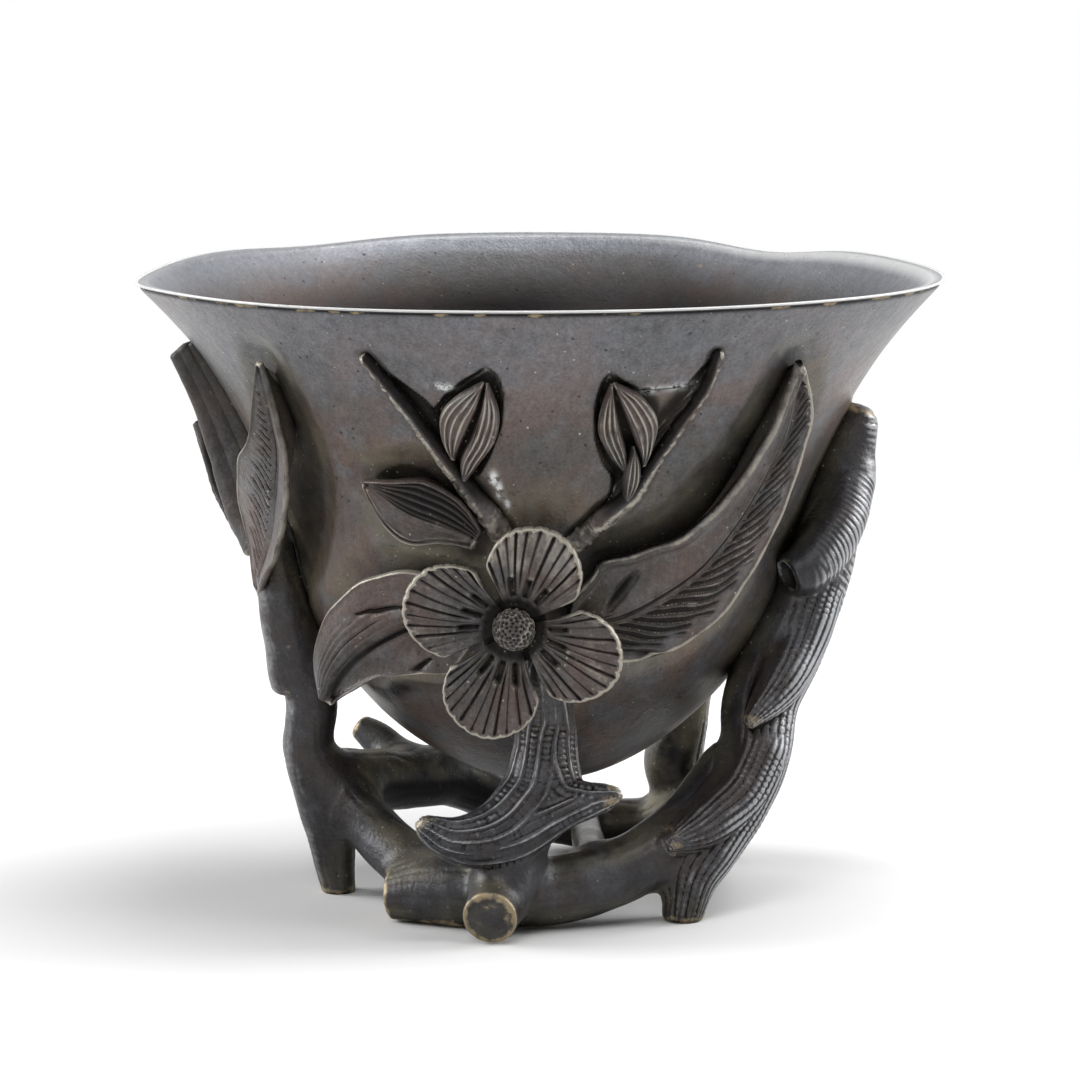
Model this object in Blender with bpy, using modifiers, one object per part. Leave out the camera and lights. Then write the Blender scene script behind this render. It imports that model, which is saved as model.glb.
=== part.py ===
"""Cast bronze cup standing in a cage of gnarled roots and flowering branches.

The bell shaped bowl is one casting. Roots, branches, flowers, leaves, twigs and buds
are separate castings soldered to it, so each one is its own solid, cut to fit its
neighbours with a thin solder seam left between them.

Frame: metres, +Z up, +X along the wide axis of the mouth, front of the cup at -Y.
Places on the bowl are given by an angle round it (degrees from the front, right is
positive), a share of the way up its wall line, and a height out from the wall.
"""
import math
from typing import NamedTuple

import bmesh
import bpy
from mathutils import Matrix, Vector

MM = 0.001

# Bowl
LIP_WIDTH = 105.0 * MM
LIP_DEPTH = 94.0 * MM
LIP_HEIGHT = 81.5 * MM
LIP_WALL = 1.1 * MM
LIP_RIGHT_DROOP = 0.9 * MM
LIP_LEFT_DROOP = 1.5 * MM
LIP_FRONT_LEFT_DROOP = 0.45 * MM
LIP_BACK_RIGHT_DIP = 1.45 * MM
LIP_BACK_LEFT_DIP = 0.85 * MM
LIP_ZONE = 0.14
LIP_SLOPE_RUN = 10.8 * MM
LIP_SLOPE_RISE = 12.0 * MM
BELLY_RADIUS = 32.6 * MM
BELLY_HEIGHT = 44.0 * MM
BELLY_LEAN = 0.2
BELLY_HANDLE = 14.0 * MM
BOWL_BOTTOM = 14.3 * MM
BOTTOM_HANDLE = 14.0 * MM
BOWL_WALL = 2.2 * MM
BOWL_COLUMNS = 56
BOWL_ROWS = 14

# Joints
SEAM = 0.3 * MM
GROUND_SPAN = 200.0 * MM
GROUND_DEPTH = 20.0 * MM

# Flowers
FLOWER_ANGLE = -5.2
FLOWER_SHARE = 0.482
FLOWER_TURN = 70.0
BACK_FLOWER_ANGLE = 158.0
BACK_FLOWER_SHARE = 0.50
BACK_FLOWER_TURN = 100.0
FLOWER_STAND = 3.4 * MM
FLOWER_TILT = 11.0
PETAL_ROUND = 6.1 * MM
PETAL_CENTRE = 7.9 * MM
PETAL_INNER = 1.2 * MM
PETAL_HALF_FAN = 42.5
PETAL_CUP = 2.4 * MM
PETAL_THICKNESS = 0.9 * MM
PETAL_FLUTES = 11
BACK_PETAL_FLUTES = 6
FLUTE_DEPTH = 0.22 * MM
CALYX_BASE = 3.0 * MM
CALYX_TOP = 4.2 * MM
BUTTON_RADIUS = 2.9 * MM
BUTTON_RISE = 1.9 * MM

# Leaves and buds, whose widths and heights are laid out in this unit
LEAF_UNIT = 1.0 * MM
LEAF_THICKNESS = 0.9 * MM
LEAF_COLUMNS = 6
LEAF_STEPS = 2
BUD_HEIGHT = 2.0 * MM
BUD_POINT = 0.55

# Branches, whose places and radii are laid out in this unit
ROOT_UNIT = 1.0 * MM
BRANCH_STEPS = 2
TWIG_STEPS = 2

# Bronze colours
BOWL_COLOUR = (0.105, 0.088, 0.078, 1.0)
BRANCH_COLOUR = (0.082, 0.070, 0.064, 1.0)
LEAF_COLOUR = (0.095, 0.080, 0.070, 1.0)


class Leaf(NamedTuple):
    """One cross section of a leaf: its place, half widths and heights."""
    angle: float
    share: float
    left: float
    right: float
    left_height: float
    rib_height: float
    right_height: float


# Wall of the bowl


def bezier(start, first, second, end, share):
    """Point on a cubic curve."""
    rest = 1.0 - share
    return (start * rest ** 3 + first * 3 * rest ** 2 * share
            + second * 3 * rest * share ** 2 + end * share ** 3)


def wall_table():
    """Outer wall line from the pole to the lip as (length so far, radius, height)."""
    pole = Vector((0.0, BOWL_BOTTOM))
    belly = Vector((BELLY_RADIUS, BELLY_HEIGHT))
    lip = Vector((LIP_WIDTH / 2, LIP_HEIGHT))
    lean = Vector((BELLY_LEAN, 1.0)) * BELLY_HANDLE
    slope = Vector((LIP_SLOPE_RUN, LIP_SLOPE_RISE))
    flat = Vector((BOTTOM_HANDLE, 0.0))
    steps = 80
    line = [bezier(pole, pole + flat, belly - lean, belly, i / steps) for i in range(steps)]
    line += [bezier(belly, belly + lean, lip - slope, lip, i / steps) for i in range(steps + 1)]
    line.append(lip + slope)
    table = []
    length = 0.0
    last = line[0]
    for spot in line:
        length += (spot - last).length
        table.append((length, spot.x, spot.y))
        last = spot
    return table


WALL_TABLE = wall_table()
WALL_LENGTH = WALL_TABLE[-2][0]


def wall_line(share):
    """Radius and height of the outer wall at a share of its length."""
    target = max(share, 0.0) * WALL_LENGTH
    low = 0
    high = len(WALL_TABLE) - 1
    while high - low > 1:
        middle = (low + high) // 2
        if WALL_TABLE[middle][0] <= target:
            low = middle
        else:
            high = middle
    start = WALL_TABLE[low]
    end = WALL_TABLE[high]
    part = (target - start[0]) / (end[0] - start[0])
    return start[1] + (end[1] - start[1]) * part, start[2] + (end[2] - start[2]) * part


def lip_drop(angle, share):
    """How far the uneven lip hangs below its full height."""
    drop = 0.0
    for centre, depth, spread in ((100.0, LIP_RIGHT_DROOP, 40.0), (-95.0, LIP_LEFT_DROOP, 25.0),
                                  (-45.0, LIP_FRONT_LEFT_DROOP, 30.0), (143.0, LIP_BACK_RIGHT_DIP, 11.0),
                                  (-142.0, LIP_BACK_LEFT_DIP, 14.0)):
        away = (angle - centre + 180.0) % 360.0 - 180.0
        drop += depth * math.exp(-(away / spread) ** 2)
    return drop * max(0.0, 1.0 - (1.0 - share) / LIP_ZONE)


def wall_base(angle, share):
    """Point on the outer wall."""
    radius, height = wall_line(share)
    oval = 1.0 - (1.0 - LIP_DEPTH / LIP_WIDTH) * share
    turn = math.radians(angle)
    return Vector((radius * math.sin(turn), -radius * oval * math.cos(turn),
                   height - lip_drop(angle, share)))


def wall_frame(angle, share):
    """Point on the outer wall with its across, up and outward directions."""
    share = max(share, 0.004)
    across = (wall_base(angle + 0.5, share) - wall_base(angle - 0.5, share)).normalized()
    up = (wall_base(angle, share + 0.004) - wall_base(angle, share - 0.004)).normalized()
    outward = across.cross(up).normalized()
    return wall_base(angle, share), across, up, outward


def wall_point(angle, share, out=0.0):
    """Point at a height out from the outer wall."""
    if share < 0.004:
        return Vector((0.0, 0.0, BOWL_BOTTOM - out))
    spot, across, up, outward = wall_frame(angle, share)
    return spot + outward * out


# Mesh tools


def metal(name, colour, roughness):
    """Patinated bronze material."""
    material = bpy.data.materials.new(name)
    material.use_nodes = True
    shader = material.node_tree.nodes["Principled BSDF"]
    shader.inputs["Base Color"].default_value = colour
    shader.inputs["Metallic"].default_value = 1.0
    shader.inputs["Roughness"].default_value = roughness
    material.diffuse_color = colour
    return material


def add_object(name, mesh, collection, material=None):
    """Object for a mesh in one of the two collections."""
    piece = bpy.data.objects.new(name, mesh)
    collection.objects.link(piece)
    if material is not None:
        mesh.materials.clear()
        mesh.materials.append(material)
    if collection == CUTTERS:
        piece.hide_render = True
        piece.display_type = "WIRE"
    return piece


def mapped_grid(name, columns, rows, place):
    """Mesh of a grid whose corners are put where place(column, row) says."""
    shape = bmesh.new()
    bmesh.ops.create_grid(shape, x_segments=columns, y_segments=rows, size=1.0)
    for corner in shape.verts:
        column = round((corner.co.x + 1.0) / 2.0 * columns)
        row = round((corner.co.y + 1.0) / 2.0 * rows)
        corner.co = place(column, row)
    bmesh.ops.remove_doubles(shape, verts=shape.verts, dist=0.001 * MM)
    mesh = bpy.data.meshes.new(name)
    shape.to_mesh(mesh)
    shape.free()
    return mesh


def solidify(piece, thickness):
    """Give a sheet its thickness on the side of the bowl."""
    shell = piece.modifiers.new("thickness", "SOLIDIFY")
    shell.thickness = thickness
    shell.offset = -1.0


def boolean(piece, operation, other):
    """Add one Boolean step to a piece."""
    step = piece.modifiers.new(operation.lower(), "BOOLEAN")
    step.operation = operation
    step.solver = "EXACT"
    step.object = other


def smooth_rows(rows, steps):
    """Rows of numbers with smooth curve rows put between them."""
    out = []
    for i in range(len(rows) - 1):
        before = rows[max(i - 1, 0)]
        start = rows[i]
        end = rows[i + 1]
        after = rows[min(i + 2, len(rows) - 1)]
        for step in range(steps):
            t = step / steps
            out.append([0.5 * (2 * b + (c - a) * t + (2 * a - 5 * b + 4 * c - d) * t ** 2
                               + (3 * b - a - 3 * c + d) * t ** 3)
                        for a, b, c, d in zip(before, start, end, after)])
    out.append(list(rows[-1]))
    return out


def tube(name, stations, steps, extra=0.0):
    """Closed branch mesh swept along stations of (x, y, z, radius)."""
    rows = smooth_rows(stations, steps)
    points = [Vector(row[:3]) for row in rows]
    points[0] += (points[0] - points[1]).normalized() * extra
    points[-1] += (points[-1] - points[-2]).normalized() * extra
    curve = bpy.data.curves.new(name, "CURVE")
    curve.dimensions = "3D"
    curve.bevel_depth = MM
    curve.bevel_resolution = 3
    curve.use_fill_caps = True
    spline = curve.splines.new("POLY")
    spline.points.add(len(points) - 1)
    for slot, point, row in zip(spline.points, points, rows):
        slot.co = (*point, 1.0)
        slot.radius = (row[3] + extra) / MM
    holder = bpy.data.objects.new(name, curve)
    bpy.context.scene.collection.objects.link(holder)
    graph = bpy.context.evaluated_depsgraph_get()
    mesh = bpy.data.meshes.new_from_object(holder.evaluated_get(graph))
    bpy.data.objects.remove(holder)
    bpy.data.curves.remove(curve)
    shape = bmesh.new()
    shape.from_mesh(mesh)
    bmesh.ops.remove_doubles(shape, verts=shape.verts, dist=0.001 * MM)
    bmesh.ops.recalc_face_normals(shape, faces=shape.faces)
    shape.to_mesh(mesh)
    shape.free()
    return mesh


def on_wall(angle, share, out, radius):
    """Branch station out from the bowl wall."""
    return (*wall_point(angle, share, out * ROOT_UNIT), radius * ROOT_UNIT)


def free(x, y, z, radius):
    """Branch station in the open."""
    return (x * ROOT_UNIT, y * ROOT_UNIT, z * ROOT_UNIT, radius * ROOT_UNIT)


# Start from an empty scene

for leftover in list(bpy.data.objects):
    bpy.data.objects.remove(leftover, do_unlink=True)
PARTS = bpy.data.collections.new("bronze_cup")
CUTTERS = bpy.data.collections.new("cutters")
bpy.context.scene.collection.children.link(PARTS)
bpy.context.scene.collection.children.link(CUTTERS)

BOWL_METAL = metal("bowl_bronze", BOWL_COLOUR, 0.42)
BRANCH_METAL = metal("branch_bronze", BRANCH_COLOUR, 0.5)
LEAF_METAL = metal("leaf_bronze", LEAF_COLOUR, 0.46)


# Bowl


def bowl_wall(share):
    """Wall thickness, thin at the lip."""
    return LIP_WALL + (BOWL_WALL - LIP_WALL) * min(1.0, (1.0 - share) * 2.0)


def bowl_corner(column, row):
    """Corner of the bowl skin: up the outside, over the lip, down the inside."""
    angle = -180.0 + 360.0 * column / BOWL_COLUMNS
    if row <= BOWL_ROWS:
        return wall_point(angle, row / BOWL_ROWS)
    share = (2 * BOWL_ROWS + 1 - row) / BOWL_ROWS
    if row == BOWL_ROWS + 1:
        rim = wall_base(angle, 1.0)
        return rim - Vector((rim.x, rim.y, 0.0)).normalized() * LIP_WALL
    return wall_point(angle, share, -bowl_wall(share))


def seat_corner(column, row):
    """Corner of the seat cutter, one seam outside the bowl."""
    angle = -180.0 + 360.0 * column / BOWL_COLUMNS
    if row > BOWL_ROWS:
        return Vector((0.0, 0.0, LIP_HEIGHT))
    return wall_point(angle, row / BOWL_ROWS, SEAM)


bowl_mesh = mapped_grid("bowl", BOWL_COLUMNS, 2 * BOWL_ROWS + 1, bowl_corner)
add_object("bowl", bowl_mesh, PARTS, BOWL_METAL)
seat_mesh = mapped_grid("bowl_seat", BOWL_COLUMNS, BOWL_ROWS + 1, seat_corner)
BOWL_SEAT = add_object("bowl_seat", seat_mesh, CUTTERS)

ground_shape = bmesh.new()
bmesh.ops.create_cube(ground_shape, size=1.0)
bmesh.ops.scale(ground_shape, vec=(GROUND_SPAN, GROUND_SPAN, GROUND_DEPTH), verts=ground_shape.verts)
bmesh.ops.translate(ground_shape, vec=(0.0, 0.0, -GROUND_DEPTH / 2), verts=ground_shape.verts)
ground_mesh = bpy.data.meshes.new("ground")
ground_shape.to_mesh(ground_mesh)
ground_shape.free()
GROUND = add_object("ground", ground_mesh, CUTTERS)


# Branches and roots

FAT_LIMBS = {}


def fat_limbs(name):
    """Cutters one seam fatter than a branch."""
    return FAT_LIMBS[name]


def branch(name, limbs, neighbours, steps=BRANCH_STEPS, standing=True):
    """Branch of one or more limbs, cut to fit the bowl, the ground and its neighbours."""
    piece = add_object(name, tube(name, limbs[0], steps), PARTS, BRANCH_METAL)
    for number, limb in enumerate(limbs[1:], 1):
        label = f"{name}_limb_{number}"
        boolean(piece, "UNION", add_object(label, tube(label, limb, steps), CUTTERS))
    boolean(piece, "DIFFERENCE", BOWL_SEAT)
    if standing:
        boolean(piece, "DIFFERENCE", GROUND)
    for neighbour in neighbours:
        for cutter in fat_limbs(neighbour):
            boolean(piece, "DIFFERENCE", cutter)
    FAT_LIMBS[name] = []
    for number, limb in enumerate(limbs):
        label = f"{name}_seat_{number}"
        FAT_LIMBS[name].append(add_object(label, tube(label, limb, steps, SEAM), CUTTERS))
    return piece


branch("right_trunk", [
    [on_wall(86, 0.77, 1.8, 2.3), on_wall(86, 0.70, 2.7, 3.5), on_wall(83, 0.60, 3.3, 4.4),
     on_wall(79, 0.52, 3.6, 4.9), on_wall(73, 0.43, 4.0, 5.1), on_wall(67, 0.355, 5.8, 4.9),
     free(27.6, -15.0, 20.5, 4.5), free(25.5, -16.5, 15.0, 4.1), free(21.8, -18.5, 9.5, 4.1),
     free(19.2, -20.0, 5.0, 3.3), free(18.0, -21.0, -1.5, 2.3)],
    [on_wall(82, 0.62, 5.0, 3.0), on_wall(74, 0.56, 5.4, 3.2), on_wall(66, 0.52, 5.0, 2.4)],
    [on_wall(74, 0.46, 6.0, 3.4), on_wall(64, 0.40, 8.0, 3.2), on_wall(53, 0.355, 8.6, 1.6)],
    [free(27.0, -16.0, 18.5, 3.2), free(21.5, -20.5, 13.0, 3.2), free(17.0, -24.0, 10.2, 1.6)],
], [])

branch("left_trunk", [
    [on_wall(-77, 0.53, 2.4, 2.7), on_wall(-76, 0.47, 3.1, 3.3), on_wall(-76, 0.41, 3.8, 3.5),
     on_wall(-76, 0.345, 6.0, 3.4), free(-30.0, -7.0, 20.0, 3.5), free(-27.9, -6.0, 14.0, 4.3),
     free(-27.1, -5.0, 7.0, 3.0), free(-26.2, -4.0, -1.5, 2.1)],
], [])

branch("back_right_trunk", [
    [on_wall(99, 0.68, 1.4, 1.8), on_wall(101, 0.60, 2.3, 2.8), on_wall(104, 0.50, 3.0, 3.4),
     on_wall(110, 0.40, 4.4, 3.6), free(28.5, 15.5, 16.0, 3.3), free(26.5, 17.0, 7.5, 2.7),
     free(24.6, 17.0, -1.5, 1.9)],
], ["right_trunk"])

branch("front_root", [
    [free(-19.2, -20.5, 3.1, 3.0), free(-14.0, -22.0, 3.8, 3.9), free(-8.9, -24.0, 4.2, 4.1),
     free(-2.5, -25.0, 4.4, 4.2), free(2.5, -24.3, 4.8, 4.3), free(10.2, -22.0, 6.6, 4.2),
     free(14.7, -20.0, 9.0, 3.9), free(19.3, -16.5, 13.0, 3.4), free(23.0, -13.5, 18.0, 2.8)],
], ["right_trunk"])

branch("left_root", [
    [free(-26.0, -6.0, 13.5, 3.4), free(-20.0, -11.5, 8.2, 3.6), free(-14.5, -17.5, 5.2, 3.8),
     free(-9.5, -23.0, 4.2, 3.4)],
], ["left_trunk", "front_root"])

branch("front_branch", [
    [on_wall(0.0, 0.41, 0.9, 2.3), on_wall(1.3, 0.34, 2.0, 3.0), on_wall(1.3, 0.285, 4.2, 3.3),
     free(-0.8, -27.2, 17.0, 4.1), free(-3.0, -27.8, 11.8, 4.2), free(-4.3, -29.3, 7.0, 3.9),
     free(-4.9, -30.0, 5.0, 3.2)],
    [free(-0.8, -27.5, 19.5, 2.8), free(-5.0, -31.0, 14.4, 2.9), free(-10.0, -33.0, 13.2, 2.3),
     free(-14.2, -34.0, 15.2, 1.1)],
    [free(0.0, -27.5, 19.0, 2.6), free(5.0, -30.0, 17.2, 2.1), free(9.4, -31.0, 18.6, 1.0)],
    [free(-4.4, -28.6, 7.0, 3.3), free(-5.6, -31.8, 4.4, 3.6), free(-6.3, -35.2, 3.4, 3.5)],
], ["front_root", "left_root"])

branch("back_left_branch", [
    [free(-24.0, -3.0, 14.5, 4.1), free(-17.2, 6.0, 13.0, 4.1), free(-12.0, 11.5, 12.2, 4.0),
     free(-5.4, 16.5, 8.4, 3.8), free(0.5, 20.0, 5.2, 3.4)],
    [free(-17.5, 6.5, 14.0, 2.7), free(-21.2, 9.0, 17.4, 2.3), free(-24.2, 10.3, 19.4, 1.5)],
], ["left_trunk", "left_root"])

branch("back_root", [
    [free(-1.5, 18.8, 6.2, 2.4), free(4.0, 21.5, 4.0, 3.4), free(9.0, 22.2, 3.3, 3.4),
     free(14.5, 21.5, 3.6, 3.4), free(19.5, 18.8, 5.4, 3.4), free(24.5, 12.0, 9.5, 3.2),
     free(27.0, 2.0, 14.0, 3.2), free(27.6, -8.0, 17.5, 3.2)],
], ["back_left_branch", "back_right_trunk", "right_trunk"])

branch("back_branch", [
    [free(18.4, 19.8, 5.2, 2.6), free(18.2, 20.6, 8.8, 3.3), free(17.8, 20.6, 13.0, 3.9),
     free(19.2, 19.0, 18.5, 3.3), on_wall(134, 0.36, 2.4, 3.1), on_wall(142, 0.42, 1.6, 2.6),
     on_wall(150, 0.455, 0.8, 2.0)],
], ["back_root", "back_right_trunk"])

branch("cross_root", [
    [free(6.6, -20.0, 8.0, 2.0), free(6.2, 0.0, 6.4, 2.1), free(6.0, 21.0, 4.2, 2.0)],
], ["front_root", "back_root"])


# Twigs

branch("left_twig", [
    [on_wall(-7.6, 0.605, 0.3, 1.4), on_wall(-8.8, 0.632, 0.5, 1.5), on_wall(-12.0, 0.662, 0.6, 1.5),
     on_wall(-17.3, 0.73, 0.6, 1.4), on_wall(-22.1, 0.811, 0.6, 1.1), on_wall(-27.0, 0.91, 0.5, 0.8)],
], [], TWIG_STEPS, False)

branch("right_twig", [
    [on_wall(6.5, 0.592, 0.3, 1.2), on_wall(12.2, 0.632, 0.5, 1.3), on_wall(17.8, 0.672, 0.6, 1.3),
     on_wall(20.8, 0.72, 0.6, 1.2), on_wall(24.2, 0.783, 0.6, 1.0), on_wall(26.9, 0.842, 0.5, 0.9),
     on_wall(26.6, 0.922, 0.4, 0.7)],
], [], TWIG_STEPS, False)

branch("side_twig", [
    [on_wall(-88.0, 0.865, 2.2, 1.5), on_wall(-87.0, 0.79, 3.0, 1.9), on_wall(-86.0, 0.71, 3.9, 2.2),
     on_wall(-84.0, 0.63, 4.2, 2.4), on_wall(-79.0, 0.55, 3.4, 2.5)],
    [on_wall(-87.5, 0.85, 0.6, 1.4), on_wall(-86.0, 0.75, 0.9, 1.8), on_wall(-84.5, 0.66, 1.2, 2.0),
     on_wall(-80.0, 0.57, 1.2, 2.0)],
], ["left_trunk"], TWIG_STEPS, False)

branch("back_twig", [
    [on_wall(161.0, 0.62, 0.4, 1.4), on_wall(164.0, 0.68, 0.6, 1.4), on_wall(169.0, 0.76, 0.6, 1.2),
     on_wall(171.0, 0.86, 0.5, 0.8)],
], [], TWIG_STEPS, False)


# Flowers


def flower_matrix(angle, share):
    """Flower frame: x across, y up, z along the tilted axis, from the wall."""
    spot, across, up, outward = wall_frame(angle, share)
    tilt = math.radians(FLOWER_TILT)
    axis = outward * math.cos(tilt) + up * math.sin(tilt)
    rise = up * math.cos(tilt) - outward * math.sin(tilt)
    frame = Matrix((across, rise, axis)).transposed().to_4x4()
    frame.translation = spot
    return frame


def petal_corner(column, row, columns, rows, turn):
    """Corner of a fluted fan shaped petal in the flower frame."""
    edge = 2.0 * column / columns - 1.0
    fan = edge * math.radians(PETAL_HALF_FAN)
    reach = PETAL_CENTRE * math.cos(fan)
    reach += math.sqrt(max(PETAL_ROUND ** 2 - (PETAL_CENTRE * math.sin(fan)) ** 2, 0.0))
    part = row / rows
    along = PETAL_INNER + (reach - PETAL_INNER) * part
    flute = math.cos(math.pi * column) * FLUTE_DEPTH * part * (1.0 - edge ** 4)
    height = FLOWER_STAND + PETAL_THICKNESS + PETAL_CUP * part ** 2 + flute
    aim = math.radians(turn) + fan
    shift = SEAM * 1.2
    across = along * math.cos(aim) + shift * math.cos(math.radians(turn))
    rise = along * math.sin(aim) + shift * math.sin(math.radians(turn))
    return Vector((across, rise, height))


def petal_seat(name, frame):
    """Cutter for what runs under and beside the petals, one seam clear of them."""
    columns = 24
    rows = 6
    reach = PETAL_CENTRE + PETAL_ROUND + 2.0 * SEAM

    def corner(column, row):
        part = min(max(row - 1, 0), rows) / rows
        radius = 0.0 if row in (0, rows + 3) else CALYX_TOP + (reach - CALYX_TOP) * part
        height = FLOWER_STAND - SEAM - FLUTE_DEPTH + PETAL_CUP * part ** 2
        if row > rows + 1:
            height += PETAL_CENTRE
        turn = 2.0 * math.pi * column / columns
        return frame @ Vector((radius * math.cos(turn), radius * math.sin(turn), height))

    return add_object(name, mapped_grid(name, columns, rows + 3, corner), CUTTERS)


def flower(prefix, angle, share, turn, flutes, stem, under):
    """Calyx, four petals and a button, with the stem cut to fit the calyx."""
    frame = flower_matrix(angle, share)
    seat = petal_seat(f"{prefix}_petal_seat", frame)
    for name in (stem, *under):
        boolean(bpy.data.objects[name], "DIFFERENCE", seat)
    depth = FLOWER_STAND - SEAM + BOWL_WALL
    for label, extra, collection, colour in (
            ("calyx", 0.0, PARTS, BRANCH_METAL), ("calyx_seat", SEAM, CUTTERS, None)):
        shape = bmesh.new()
        bmesh.ops.create_cone(shape, cap_ends=True, segments=20, radius1=CALYX_BASE + extra,
                              radius2=CALYX_TOP + extra, depth=depth + 2 * extra)
        bmesh.ops.translate(shape, vec=(0.0, 0.0, FLOWER_STAND - SEAM - depth / 2), verts=shape.verts)
        bmesh.ops.transform(shape, matrix=frame, verts=shape.verts)
        mesh = bpy.data.meshes.new(f"{prefix}_{label}")
        shape.to_mesh(mesh)
        shape.free()
        piece = add_object(f"{prefix}_{label}", mesh, collection, colour)
        if collection == PARTS:
            boolean(piece, "DIFFERENCE", BOWL_SEAT)
        else:
            boolean(bpy.data.objects[stem], "DIFFERENCE", piece)
    columns = 2 * flutes
    rows = 4
    for number, label in enumerate(("top", "left", "bottom", "right")):
        aim = turn + 90.0 * number

        def corner(column, row, aim=aim):
            return frame @ petal_corner(columns - column, row, columns, rows, aim)

        name = f"{prefix}_petal_{label}"
        piece = add_object(name, mapped_grid(name, columns, rows, corner), PARTS, LEAF_METAL)
        solidify(piece, PETAL_THICKNESS)
    shape = bmesh.new()
    bmesh.ops.create_uvsphere(shape, u_segments=16, v_segments=8, radius=1.0)
    for corner in shape.verts:
        corner.co.x *= BUTTON_RADIUS
        corner.co.y *= BUTTON_RADIUS
        corner.co.z = max(corner.co.z, 0.0) * BUTTON_RISE
    base = FLOWER_STAND + PETAL_THICKNESS + SEAM + FLUTE_DEPTH
    bmesh.ops.translate(shape, vec=(0.0, 0.0, base), verts=shape.verts)
    bmesh.ops.transform(shape, matrix=frame, verts=shape.verts)
    mesh = bpy.data.meshes.new(f"{prefix}_button")
    shape.to_mesh(mesh)
    shape.free()
    add_object(f"{prefix}_button", mesh, PARTS, LEAF_METAL)


# Leaves


def leaf(name, stations, neighbours):
    """Leaf sheet shaped over the bowl, cut to fit the twigs it grows from."""
    run = smooth_rows(stations, LEAF_STEPS)
    rows = len(run) - 1

    def corner(column, row):
        angle, share, left, right, left_height, rib_height, right_height = run[row]
        ahead = run[min(row + 1, rows)]
        behind = run[max(row - 1, 0)]
        radius = wall_line(share)[0]
        run_across = math.radians(ahead[0] - behind[0]) * radius
        run_up = (ahead[1] - behind[1]) * WALL_LENGTH
        length = math.hypot(run_across, run_up)
        side = 2.0 * column / LEAF_COLUMNS - 1.0
        reach = side * (left if side < 0 else right) * LEAF_UNIT
        edge = left_height if side < 0 else right_height
        height = rib_height + (edge - rib_height) * abs(side) ** 1.4
        angle += math.degrees(reach * run_up / length / radius)
        share -= reach * run_across / length / WALL_LENGTH
        return wall_point(angle, share, height * LEAF_UNIT)

    piece = add_object(name, mapped_grid(name, LEAF_COLUMNS, rows, corner), PARTS, LEAF_METAL)
    solidify(piece, LEAF_THICKNESS)
    for neighbour in neighbours:
        for cutter in fat_limbs(neighbour):
            boolean(piece, "DIFFERENCE", cutter)


leaf("lower_left_leaf", [
    Leaf(-15.0, 0.492, 3.0, 3.0, 1.5, 1.4, 1.5), Leaf(-24.0, 0.482, 7.0, 7.0, 1.8, 1.5, 2.2),
    Leaf(-33.0, 0.462, 6.0, 7.6, 2.4, 2.0, 3.0), Leaf(-43.0, 0.432, 3.6, 6.4, 3.6, 3.4, 4.2),
    Leaf(-51.0, 0.400, 2.2, 4.2, 5.4, 5.2, 5.6), Leaf(-56.5, 0.368, 0.6, 1.0, 7.0, 7.0, 7.0),
], ["left_trunk"])

leaf("right_leaf", [
    Leaf(6.0, 0.488, 2.5, 2.5, 1.5, 1.4, 1.5), Leaf(15.6, 0.495, 7.5, 7.0, 2.2, 1.5, 1.8),
    Leaf(25.8, 0.528, 7.2, 9.2, 3.6, 1.7, 2.0), Leaf(35.3, 0.579, 5.4, 9.3, 4.0, 1.8, 2.2),
    Leaf(43.0, 0.664, 4.2, 8.6, 3.8, 1.8, 2.4), Leaf(46.5, 0.764, 3.4, 5.4, 3.0, 1.6, 2.2),
    Leaf(44.6, 0.855, 1.3, 1.8, 1.8, 1.4, 1.8), Leaf(43.3, 0.89, 0.4, 0.4, 1.3, 1.3, 1.3),
], ["right_trunk"])

leaf("curled_leaf", [
    Leaf(-12.5, 0.606, 1.5, 1.5, 1.3, 1.4, 1.6), Leaf(-18.9, 0.628, 3.0, 5.0, 1.3, 1.6, 2.8),
    Leaf(-26.0, 0.648, 5.0, 6.0, 1.3, 1.7, 3.0), Leaf(-32.0, 0.675, 3.0, 2.6, 1.3, 1.7, 2.4),
    Leaf(-35.5, 0.690, 0.4, 0.4, 1.3, 1.5, 1.6),
], ["left_twig"])

leaf("side_leaf", [
    Leaf(-79.0, 0.495, 0.8, 0.8, 5.6, 5.6, 5.6), Leaf(-71.0, 0.54, 4.0, 2.0, 5.4, 5.0, 5.6),
    Leaf(-64.5, 0.59, 7.5, 3.2, 5.0, 4.4, 5.6), Leaf(-58.5, 0.665, 8.0, 3.6, 4.4, 3.6, 5.0),
    Leaf(-53.5, 0.73, 5.0, 2.6, 3.6, 3.0, 4.2), Leaf(-51.5, 0.80, 2.4, 1.4, 2.6, 2.4, 2.8),
    Leaf(-48.5, 0.885, 0.4, 0.4, 1.4, 1.4, 1.4),
], ["left_trunk", "side_twig"])

leaf("small_side_leaf", [
    Leaf(-81.5, 0.57, 0.8, 0.8, 7.5, 7.5, 7.5), Leaf(-88.0, 0.595, 2.4, 1.8, 7.2, 7.4, 7.3),
    Leaf(-92.0, 0.65, 2.8, 1.6, 7.2, 7.5, 7.0), Leaf(-93.0, 0.71, 2.0, 1.2, 6.4, 6.6, 6.2),
    Leaf(-93.5, 0.755, 0.4, 0.4, 5.6, 5.6, 5.6),
], ["left_trunk", "side_twig"])

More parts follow.
